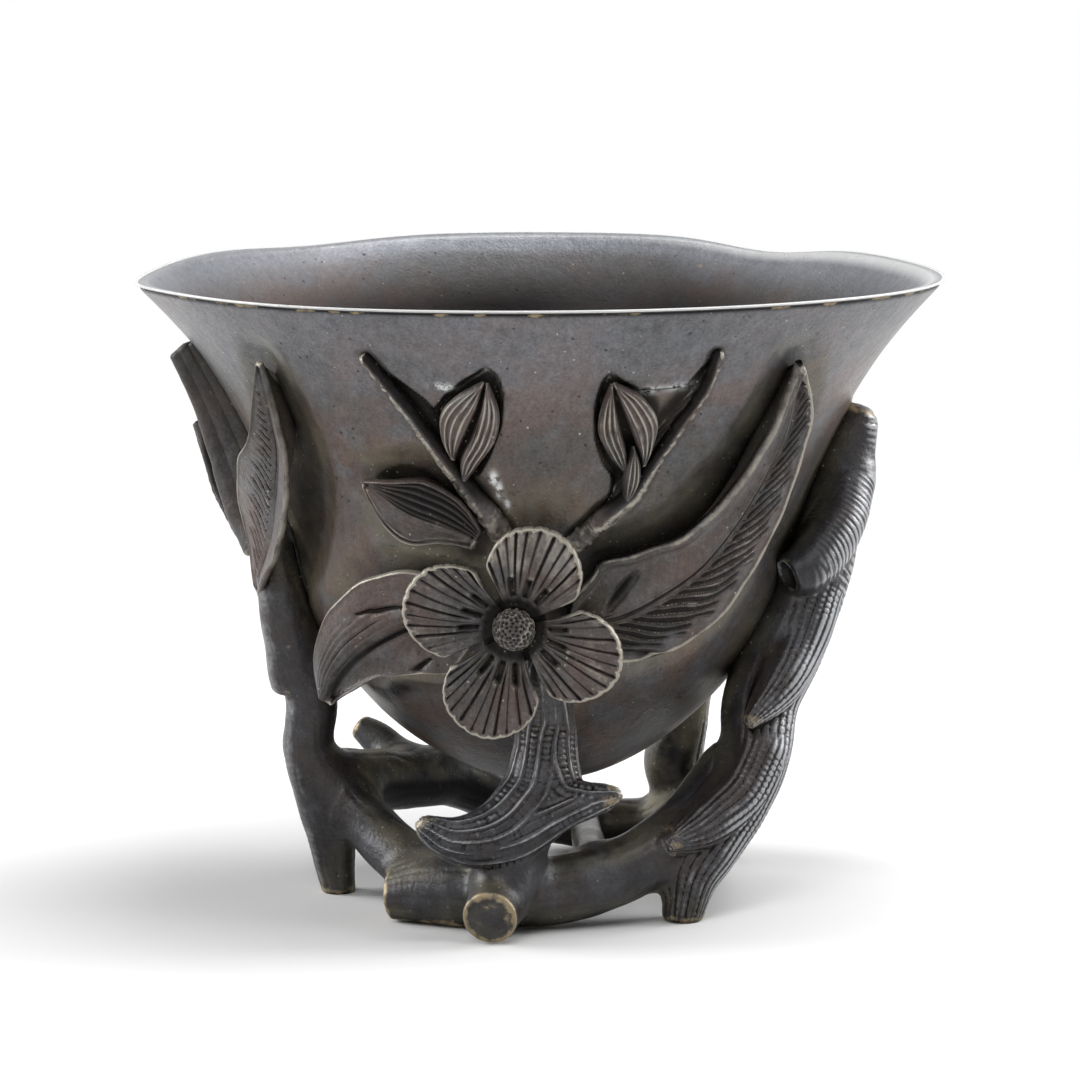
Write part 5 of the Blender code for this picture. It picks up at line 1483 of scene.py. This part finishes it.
LEAVES = {
    "lower_left_leaf": ([
        Leaf(-15.0, 0.492, 3.0, 3.0, 1.5, 1.4, 1.5), Leaf(-24.0, 0.482, 7.0, 7.0, 1.8, 1.6, 2.2),
        Leaf(-33.0, 0.462, 6.0, 7.6, 2.4, 2.2, 2.6), Leaf(-43.0, 0.432, 3.6, 6.4, 3.6, 3.6, 3.6),
        Leaf(-51.0, 0.400, 2.2, 4.2, 5.4, 5.3, 5.2), Leaf(-56.5, 0.368, 0.6, 1.0, 7.0, 7.0, 7.0)],
        lower_left_leaf_cuts, 0.6, 0.4),
    "right_leaf": ([
        Leaf(6.0, 0.488, 2.5, 2.5, 1.5, 1.6, 1.5), Leaf(15.6, 0.495, 7.5, 7.0, 2.2, 2.3, 1.7),
        Leaf(25.8, 0.528, 7.2, 9.2, 2.9, 3.1, 1.8), Leaf(35.3, 0.579, 5.4, 9.3, 3.2, 3.3, 2.0),
        Leaf(43.0, 0.664, 4.2, 8.6, 3.2, 3.0, 2.2), Leaf(46.5, 0.764, 3.4, 5.4, 2.8, 2.5, 2.1),
        Leaf(44.6, 0.855, 1.3, 1.8, 1.8, 1.7, 1.7), Leaf(43.3, 0.89, 0.4, 0.4, 1.3, 1.3, 1.3)],
        right_leaf_cuts, 0.7, 0.7),
    "curled_leaf": ([
        Leaf(-12.5, 0.606, 1.5, 1.5, 1.3, 1.6, 1.6), Leaf(-18.9, 0.628, 3.0, 5.0, 1.3, 2.0, 2.6),
        Leaf(-26.0, 0.648, 5.0, 6.0, 1.3, 2.1, 2.8), Leaf(-32.0, 0.675, 3.0, 2.6, 1.3, 1.9, 2.3),
        Leaf(-35.5, 0.690, 0.4, 0.4, 1.3, 1.5, 1.6)],
        curled_leaf_cuts, 0.5, -0.6),
    "side_leaf": ([
        Leaf(-79.0, 0.495, 0.8, 0.8, 5.6, 5.6, 5.6), Leaf(-71.0, 0.54, 4.0, 2.0, 5.4, 5.0, 5.6),
        Leaf(-64.5, 0.59, 8.0, 3.2, 5.0, 4.4, 5.6), Leaf(-58.5, 0.665, 7.4, 3.6, 4.4, 3.6, 5.0),
        Leaf(-53.8, 0.73, 5.0, 2.8, 3.8, 3.0, 4.2), Leaf(-51.3, 0.80, 2.9, 1.6, 2.8, 2.4, 2.8),
        Leaf(-48.5, 0.885, 0.4, 0.4, 1.4, 1.4, 1.4)],
        side_leaf_cuts, 0.4, 0.55),
    "small_side_leaf": ([
        Leaf(-80.0, 0.56, 0.5, 0.5, 5.0, 5.0, 5.0), Leaf(-86.5, 0.595, 2.0, 1.6, 6.4, 6.6, 6.4),
        Leaf(-91.0, 0.65, 2.6, 1.8, 7.2, 7.5, 7.0), Leaf(-92.5, 0.71, 2.2, 1.5, 6.8, 7.0, 6.6),
        Leaf(-93.0, 0.76, 0.6, 0.6, 6.2, 6.2, 6.2)],
        small_leaf_cuts, 0.1, 0.1),
    "back_leaf": ([
        Leaf(170.0, 0.505, 2.5, 2.5, 1.5, 1.6, 1.5), Leaf(180.0, 0.515, 6.5, 6.0, 2.0, 2.2, 1.7),
        Leaf(190.0, 0.555, 6.0, 7.0, 2.6, 2.8, 1.8), Leaf(198.0, 0.63, 4.6, 6.6, 2.8, 2.8, 2.0),
        Leaf(201.0, 0.72, 3.2, 4.6, 2.4, 2.2, 1.9), Leaf(200.0, 0.80, 1.2, 1.6, 1.8, 1.6, 1.6),
        Leaf(199.0, 0.835, 0.4, 0.4, 1.3, 1.3, 1.3)],
        right_leaf_cuts, 0.7, 0.7),
    "back_small_leaf": ([
        Leaf(150.0, 0.60, 1.6, 1.6, 1.5, 1.4, 1.5), Leaf(144.0, 0.635, 4.0, 4.2, 2.0, 1.6, 2.2),
        Leaf(138.0, 0.68, 3.6, 3.8, 2.2, 1.7, 2.4), Leaf(134.5, 0.735, 1.6, 1.8, 1.8, 1.5, 1.9),
        Leaf(133.0, 0.765, 0.4, 0.4, 1.3, 1.3, 1.3)],
        small_leaf_cuts, 0.3, 0.3),
    "left_bud_outer": ([
        Leaf(-15.8, 0.732, 0.3, 0.3, 0.9, 1.0, 0.9), Leaf(-14.6, 0.760, 2.0, 0.5, 1.1, 1.6, 1.5),
        Leaf(-12.9, 0.795, 3.0, 0.7, 1.1, 1.9, 1.7), Leaf(-10.8, 0.832, 2.2, 0.7, 1.0, 1.7, 1.5),
        Leaf(-8.8, 0.868, 0.2, 0.2, 0.9, 1.0, 0.9)], bud_cuts, 0.25, 0.25),
    "left_bud_inner": ([
        Leaf(-14.3, 0.698, 0.3, 0.3, 1.0, 1.1, 1.0), Leaf(-13.0, 0.735, 0.8, 1.6, 1.6, 1.9, 1.2),
        Leaf(-11.0, 0.780, 0.4, 2.6, 1.7, 2.0, 1.2), Leaf(-9.3, 0.825, 0.2, 2.0, 1.5, 1.8, 1.1),
        Leaf(-8.2, 0.866, 0.2, 0.2, 0.9, 1.0, 0.9)], bud_cuts, 0.25, 0.25),
    "right_bud_inner": ([
        Leaf(16.0, 0.712, 0.3, 0.3, 1.0, 1.0, 1.0), Leaf(14.4, 0.745, 1.4, 0.7, 1.2, 1.8, 1.6),
        Leaf(12.9, 0.785, 2.1, 0.6, 1.2, 1.9, 1.7), Leaf(11.9, 0.825, 1.5, 0.4, 1.1, 1.7, 1.5),
        Leaf(11.2, 0.864, 0.2, 0.2, 0.9, 1.0, 0.9)], bud_cuts, 0.25, 0.25),
    "right_bud_outer": ([
        Leaf(19.2, 0.720, 0.3, 0.3, 1.0, 1.0, 1.0), Leaf(17.9, 0.752, 0.4, 1.8, 1.5, 1.7, 1.2),
        Leaf(16.0, 0.790, 0.5, 3.0, 1.6, 1.9, 1.2), Leaf(13.6, 0.832, 0.5, 2.2, 1.5, 1.7, 1.1),
        Leaf(11.5, 0.866, 0.2, 0.2, 0.9, 1.0, 0.9)], bud_cuts, 0.25, 0.25),
    "right_bud_sepal": ([
        Leaf(16.9, 0.665, 0.4, 0.4, 1.2, 1.2, 1.2), Leaf(17.0, 0.700, 1.1, 1.1, 1.6, 2.2, 1.6),
        Leaf(16.8, 0.730, 0.9, 0.9, 1.6, 2.2, 1.6), Leaf(16.5, 0.757, 0.2, 0.2, 1.4, 1.6, 1.4)],
        bud_cuts, 0.25, 0.25),
    "back_bud_outer": ([
        Leaf(164.0, 0.745, 0.3, 0.3, 1.0, 1.0, 1.0), Leaf(164.4, 0.775, 0.6, 1.8, 1.5, 1.7, 1.2),
        Leaf(164.8, 0.815, 0.5, 2.6, 1.6, 1.9, 1.2), Leaf(164.2, 0.850, 0.5, 1.8, 1.5, 1.7, 1.1),
        Leaf(163.0, 0.885, 0.2, 0.2, 0.9, 1.0, 0.9)], bud_cuts, 0.25, 0.25),
    "back_bud_inner": ([
        Leaf(158.6, 0.720, 0.3, 0.3, 1.0, 1.0, 1.0), Leaf(159.3, 0.755, 1.5, 0.8, 1.2, 1.8, 1.6),
        Leaf(160.3, 0.800, 2.2, 0.8, 1.2, 1.9, 1.7), Leaf(161.6, 0.845, 1.5, 0.5, 1.1, 1.7, 1.5),
        Leaf(162.9, 0.884, 0.2, 0.2, 0.9, 1.0, 0.9)], bud_cuts, 0.25, 0.25),
}


# Bowl

# Fields of the wall sunk round the relief: depth in mm, and outlines as angles and shares
SUNK_DEPTH = 0.9
SUNK_FIELDS = {
    "by_left_twig": [
        (-28.2, 0.897), (-23.7, 0.867), (-18.8, 0.823), (-18.1, 0.809), (-17.3, 0.787),
        (-15.8, 0.730), (-14.5, 0.705), (-13.6, 0.684), (-18.6, 0.738), (-23.9, 0.820)],
    "round_left_bud": [
        (-18.1, 0.809), (-15.4, 0.838), (-12.3, 0.863), (-9.6, 0.880), (-8.2, 0.893),
        (-6.6, 0.875), (-5.9, 0.846), (-6.7, 0.788), (-9.1, 0.737), (-11.8, 0.702),
        (-14.3, 0.695), (-16.6, 0.740), (-17.9, 0.785)],
    "by_right_twig": [
        (11.2, 0.874), (13.5, 0.859), (16.3, 0.845), (19.6, 0.846), (24.1, 0.847),
        (25.8, 0.882), (27.8, 0.907), (29.0, 0.887), (27.0, 0.829), (23.3, 0.778),
        (18.9, 0.723), (17.9, 0.694), (16.0, 0.750), (14.0, 0.810)],
    "round_right_bud": [
        (11.0, 0.880), (9.8, 0.863), (9.2, 0.822), (9.8, 0.762), (11.6, 0.725),
        (13.8, 0.703), (13.8, 0.671), (11.8, 0.648), (8.2, 0.626), (12.2, 0.632),
        (19.2, 0.710), (20.3, 0.784), (14.0, 0.850)],
    "above_curled_leaf": [
        (-36.9, 0.679), (-32.2, 0.701), (-27.3, 0.714), (-22.3, 0.707), (-19.6, 0.687),
        (-14.1, 0.613), (-22.8, 0.641), (-28.7, 0.670)],
}

# Chalky dust marks on the wall: angle, share, and how far each spreads in both
CHALK_AMOUNT = 1.7
CHALK_MARKS = (
    (-8.8, 0.699, 0.7, 0.010), (-7.9, 0.680, 0.6, 0.012), (-6.5, 0.657, 0.5, 0.008),
    (18.6, 0.842, 2.4, 0.008), (22.6, 0.845, 2.2, 0.008), (-15.6, 0.853, 1.8, 0.006))

# Line under the lip as shares of the wall and a depth in mm, and how far the lip is rounded
LIP_LINE = 0.9905
LIP_LINE_WIDTH = 0.0038
LIP_LINE_DEPTH = 0.16
LIP_ROUND = 0.30

# How far from the branches the wall looks for them, in mm
CAGE_REACH = 4.0


def inside_gap(angle, share, outline):
    """Distance in mm from places on the wall to an outline drawn on it, above zero inside."""
    outline = np.array(outline)
    radius = wall_line(outline[:, 1].mean())[0]
    corners = np.stack([np.radians(outline[:, 0]) * radius, outline[:, 1] * WALL_LENGTH], axis=1)
    spots = np.stack([np.radians(angle) * radius, share * WALL_LENGTH], axis=1)
    nearest = np.full(len(spots), 1e9)
    inside = np.zeros(len(spots), bool)
    for start, end in zip(corners, np.roll(corners, -1, axis=0)):
        run = end - start
        part = np.clip((spots - start) @ run / (run @ run), 0.0, 1.0)
        nearest = np.minimum(nearest, np.linalg.norm(spots - start - part[:, None] * run, axis=1))
        crosses = (start[1] > spots[:, 1]) != (end[1] > spots[:, 1])
        slope = run[0] / run[1] if run[1] else 0.0
        inside ^= crosses & (spots[:, 0] < start[0] + (spots[:, 1] - start[1]) * slope)
    return np.where(inside, nearest, -nearest)


def near_wall_tree(pieces):
    """Search tree over some pieces pressed flat onto the wall, in mm."""
    spots = np.vstack([spots_of(piece.data)[::3] for piece in pieces])
    gap, out = wall_gap(spots)
    spots = spots - out * gap[:, None]
    tree = KDTree(len(spots))
    for number, spot in enumerate(spots.tolist()):
        tree.insert(spot, number)
    tree.balance()
    return tree


def wall_distance(tree, spots):
    """Distance from spots to the nearest one in a tree."""
    return np.array([tree.find(spot)[2] for spot in spots.tolist()])


def surface_tree(pieces):
    """Search tree over the surfaces of some pieces, in mm."""
    spots = []
    faces = []
    first = 0
    for piece in pieces:
        own = spots_of(piece.data)
        spots.append(own)
        faces += [[first + corner for corner in face.vertices] for face in piece.data.polygons]
        first += len(own)
    return BVHTree.FromPolygons(np.vstack(spots).tolist(), faces)


def surface_distance(tree, spots, reach):
    """Distance from spots to a surface, or the reach where nothing is that near."""
    found = [tree.find_nearest(Vector(spot), reach)[3] for spot in spots.tolist()]
    return np.array([reach if gap is None else gap for gap in found])


def bowl_outside(angles, leaves, flowers, buds, twigs, cage):
    """Outside of the bowl: cast wall, sunk round the relief and drawn up to the branches."""
    shares = np.concatenate([np.linspace(0.0, 0.36, 24)[:-1], np.linspace(0.36, 0.93, 122)[:-1],
                             np.linspace(0.93, 0.975, 12)[:-1], np.linspace(0.975, 1.0, 20)])
    angle, share = np.meshgrid(angles, shares)
    spot, across, up, outward = [part.reshape(-1, 3) for part in wall_frame(angle, share)]
    spot[:len(angles)] = (0.0, 0.0, BOWL_BOTTOM)
    angle = angle.ravel()
    share = share.ravel()
    to_leaf = wall_distance(near_wall_tree(leaves), spot)
    to_flower = wall_distance(near_wall_tree(flowers), spot)
    to_twig = wall_distance(near_wall_tree(twigs), spot)
    to_bud = wall_distance(near_wall_tree(buds), spot)
    to_cage = surface_distance(surface_tree(cage), spot, CAGE_REACH)
    field = np.max([inside_gap(angle, share, outline) for outline in SUNK_FIELDS.values()], axis=0)
    sunk = SUNK_DEPTH * smooth_step(-0.1, 0.75, field)
    beside_leaf = 0.75 * smooth_step(4.4, 0.8, to_leaf)
    beside_twig = 0.30 * smooth_step(0.9, 0.1, to_twig)
    hollow = np.maximum(np.maximum(sunk, beside_leaf), beside_twig)
    lift = np.clip(1.0 - to_cage / BOWL_WEB, 0.0, 1.0) ** 2 * BOWL_WEB / 4.0
    cast = 0.15 * cast_noise(spot, 15.0, 11) + 0.05 * cast_noise(spot, 5.0, 12)
    cast = cast + 0.015 * cast_noise(spot, 1.8, 13)
    calm = smooth_step(1.0, 0.97, share)
    lip_line = hump(share - LIP_LINE, LIP_LINE_WIDTH)
    spots = spot + outward * ((cast - hollow) * calm + lift - LIP_LINE_DEPTH * lip_line)[:, None]
    shelter = 0.6 * smooth_step(5.5, 2.0, to_leaf) + 0.6 * smooth_step(6.5, 0.0, to_flower)
    shelter = shelter + 0.5 * smooth_step(-0.2, 0.8, field) + 0.5 * smooth_step(3.0, 0.5, to_cage)
    # Painted shade in the sunk fields by the twigs and buds, and along the leaves
    sunken = smooth_step(-0.1, 0.4, field)
    painted_shade = 0.9 * sunken * smooth_step(3.4, 1.5, to_twig)
    painted_shade = np.maximum(painted_shade, 0.9 * sunken * smooth_step(1.7, 0.6, to_bud))
    painted_shade = np.maximum(painted_shade, (0.5 + 0.4 * sunken) * smooth_step(1.9, 0.5, to_leaf))
    marks = [np.exp(-((angle - centre) / wide) ** 2 - ((share - level) / high) ** 2)
             for centre, level, wide, high in CHALK_MARKS]
    # Painted sheen over the upper wall; the line under the lip gets painted shade and broken bare brass, and
    # the lip edge its polish and painted highlight
    lip_edge = smooth_step(0.9945, 0.9965, share)
    return spots, {
        "shelter": np.clip(shelter, 0.0, 1.0),
        "sheen": smooth_step(0.70, 0.99, share) + lip_edge,
        "inside": np.zeros(len(spots)),
        "painted_shade": np.maximum(painted_shade, lip_line),
        "chalk": CHALK_AMOUNT * np.max(marks, axis=0),
        "bare": 0.9 * lip_line * smooth_step(-0.3, 0.4, cast_noise(spot, 2.2, 41)),
        "lip": lip_edge,
    }


def bowl_rim(angles):
    """Rounded edge of the lip, polished bright and given a painted highlight."""
    rim = wall_base(angles, np.ones(len(angles)))
    inward = -unit(rim * (1.0, 1.0, 0.0))
    turns = np.radians(np.linspace(25.0, 110.0, 6))
    rows = []
    for turn in turns:
        rise = (0.0, 0.0, LIP_ROUND * math.sin(turn) - LIP_ROUND)
        rows.append(rim + inward * (LIP_WALL / 2) * (1.0 - math.cos(turn)) + rise)
    sheen = np.repeat(np.where(turns < 1.5, 2.0, 1.3), len(angles))
    none = np.zeros(len(sheen))
    return np.vstack(rows), {
        "shelter": none,
        "sheen": sheen,
        "inside": np.minimum(sheen, 1.0),
        "painted_shade": none,
        "chalk": none,
        "bare": none,
        "lip": np.ones(len(sheen)),
    }


def bowl_inside(angles):
    """Inside of the bowl: smooth, with a painted sheen and reflection near the lip and painted shade below.
    """
    shares = np.concatenate([np.linspace(0.985, 0.975, 4)[:-1], np.linspace(0.975, 0.9, 15)[:-1],
                             np.linspace(0.9, 0.0, 46)])
    angle, share = np.meshgrid(angles, shares)
    wall = LIP_WALL + (BOWL_WALL - LIP_WALL) * np.minimum(1.0, (1.0 - share) * 2.0)
    spots = wall_point(angle, share, -wall).reshape(-1, 3)
    share = share.ravel()
    spots[-len(angles):] = spots[-len(angles):].mean(axis=0)
    cast = 0.12 * cast_noise(spots, 9.0, 21)[:, None]
    spots = spots + cast * unit(spots * (1.0, 1.0, 0.0)) * smooth_step(1.0, 0.9, share)[:, None]
    near_lip = smooth_step(0.94, 0.985, share)
    ends = smooth_step(12.0, 42.0, np.abs(spots[:, 0]))
    sheen = 0.35 + 0.4 * ends + 0.25 * smooth_step(0.0, 40.0, spots[:, 0])
    sheen = sheen * smooth_step(0.86, 0.96, share) + (0.98 - 0.42 * ends) * near_lip
    painted_shade = (0.64 + 0.2 * cast_noise(spots, 15.0, 31)) * smooth_step(0.975, 0.85, share)
    painted_shade = painted_shade + (0.30 - 0.14 * ends) * (1.0 - near_lip)
    none = np.zeros(len(spots))
    return spots, {
        "shelter": 0.6 * smooth_step(0.45, 0.1, share),
        "sheen": sheen,
        "inside": np.ones(len(spots)),
        "painted_shade": painted_shade * (0.62 + 0.38 * smooth_step(0.5, 0.78, share)),
        "chalk": none,
        "bare": none,
        "lip": smooth_step(0.945, 0.965, share),
    }


def bowl(leaves, flowers, buds, twigs, cage):
    """Bowl: its outside, the edge of its lip and its inside in one mesh."""
    angles = np.concatenate([np.arange(-65.0, 65.0, 0.42), np.arange(65.0, 295.0, 0.92)])
    angles = (angles + 180.0) % 360.0 - 180.0
    runs = [bowl_outside(angles, leaves, flowers, buds, twigs, cage), bowl_rim(angles), bowl_inside(angles)]
    spots = np.vstack([run_spots for run_spots, run_masks in runs])
    spots[:, 2] = np.minimum(spots[:, 2], CAD_BOX[1][2] / MM)
    masks = {mask: np.concatenate([run_masks[mask] for run_spots, run_masks in runs]) for mask in runs[0][1]}
    faces = grid_faces(len(spots) // len(angles), len(angles), True)
    piece = add_piece("bowl_cast", spots, faces, BOWL_BRONZE, 0.0005, masks)
    return finish_piece(piece, 5)


# Put the cup together

cage_pieces = part_cage(*carve_cage())
twig_pieces = [twig(name, *form) for name, form in TWIGS.items()]
leaf_pieces = [leaf(name, *form) for name, form in LEAVES.items()]
flower_pieces = flower("flower", -5.2, 0.482, 70.0) + flower("back_flower", 158.0, 0.50, 100.0)
broad_leaves = [piece for piece in leaf_pieces if "bud" not in piece.name]
bud_pieces = [piece for piece in leaf_pieces if "bud" in piece.name]
bowl(broad_leaves, flower_pieces, bud_pieces, twig_pieces, cage_pieces)


# Studio

FLOOR_WHITE = (0.80, 0.80, 0.80, 1.0)
FLOOR_RADIUS = 2.0
FLOOR_DROP = 0.00002

# Where the floor starts to fade into the background and where it has, in metres from the cup
FADE_START = 0.10
FADE_END = 0.45

# Light of the white room on the cup
ROOM_LIGHT = 0.16

# Camera fitted to the photograph: place in metres, degrees down from level, lens in mm
CAMERA_PLACE = (0.0, -0.7, 0.1578)
CAMERA_DOWN = 9.08
CAMERA_LENS = 181.1
CAMERA_SENSOR = 36.0


def seen_ray(tree):
    """Light Path as one value: 1 for what the camera, a reflection or a view through glass sees."""
    path = add_node(tree, "ShaderNodeLightPath")
    seen = maths(tree, "MAXIMUM", path.outputs["Is Camera Ray"], path.outputs["Is Glossy Ray"])
    return maths(tree, "MAXIMUM", seen, path.outputs["Is Transmission Ray"])


def studio_floor():
    """White floor that keeps the cup's shadow and fades into the white background."""
    shape = bmesh.new()
    bmesh.ops.create_circle(shape, cap_ends=True, segments=96, radius=FLOOR_RADIUS)
    mesh = bpy.data.meshes.new("floor")
    shape.to_mesh(mesh)
    shape.free()
    material = bpy.data.materials.new("floor_white")
    material.use_nodes = True
    tree = material.node_tree
    shader = tree.nodes["Principled BSDF"]
    shader.inputs["Base Color"].default_value = FLOOR_WHITE
    shader.inputs["Roughness"].default_value = 0.9
    shader.inputs["Specular IOR Level"].default_value = 0.1
    place = add_node(tree, "ShaderNodeTexCoord").outputs["Object"]
    away = add_node(tree, "ShaderNodeVectorMath", {"operation": "LENGTH"}, {0: place}).outputs["Value"]
    fade = maths(tree, "MULTIPLY", soft_range(tree, away, FADE_START, FADE_END), seen_ray(tree))
    glow = add_node(tree, "ShaderNodeEmission", {}, {"Color": PURE_WHITE, "Strength": 1.0})
    both = add_node(tree, "ShaderNodeMixShader", {}, {0: fade})
    tree.links.new(shader.outputs["BSDF"], both.inputs[1])
    tree.links.new(glow.outputs["Emission"], both.inputs[2])
    tree.links.new(both.outputs["Shader"], tree.nodes["Material Output"].inputs["Surface"])
    mesh.materials.append(material)
    floor = bpy.data.objects.new("floor", mesh)
    floor.location.z = -FLOOR_DROP
    bpy.context.scene.collection.objects.link(floor)
    return floor


def soft_box(name, place, size, watts, aim=(0.0, 0.0, 0.04)):
    """Square soft light aimed at the cup."""
    light = bpy.data.lights.new(name, "AREA")
    light.shape = "RECTANGLE"
    light.size = size[0]
    light.size_y = size[1]
    light.energy = watts
    holder = bpy.data.objects.new(name, light)
    holder.location = place
    holder.rotation_euler = (Vector(aim) - Vector(place)).to_track_quat("-Z", "Y").to_euler()
    bpy.context.scene.collection.objects.link(holder)
    return holder


studio_floor()
soft_box("top_light", (0.25, 0.0, 1.1), (0.8, 0.7), 11.0)
soft_box("left_light", (-0.85, 0.15, 0.35), (0.5, 0.6), 8.0)
soft_box("right_light", (0.85, 0.25, 0.4), (0.5, 0.6), 8.0)
soft_box("front_light", (-0.3, -0.95, 0.95), (0.5, 0.5), 4.0)

world = bpy.data.worlds.new("studio")
bpy.context.scene.world = world
world.use_nodes = True
room = world.node_tree
lit = add_node(room, "ShaderNodeMapRange", {},
               {"Value": seen_ray(room), "To Min": ROOM_LIGHT, "To Max": 1.0})
room.nodes["Background"].inputs["Color"].default_value = PURE_WHITE
room.links.new(lit.outputs["Result"], room.nodes["Background"].inputs["Strength"])

camera = bpy.data.cameras.new("camera")
camera.lens = CAMERA_LENS
camera.sensor_width = CAMERA_SENSOR
viewer = bpy.data.objects.new("camera", camera)
viewer.location = CAMERA_PLACE
viewer.rotation_euler = (math.radians(90.0 - CAMERA_DOWN), 0.0, 0.0)
bpy.context.scene.collection.objects.link(viewer)
bpy.context.scene.camera = viewer
bpy.context.scene.view_settings.view_transform = "Standard"

bpy.context.view_layer.update()
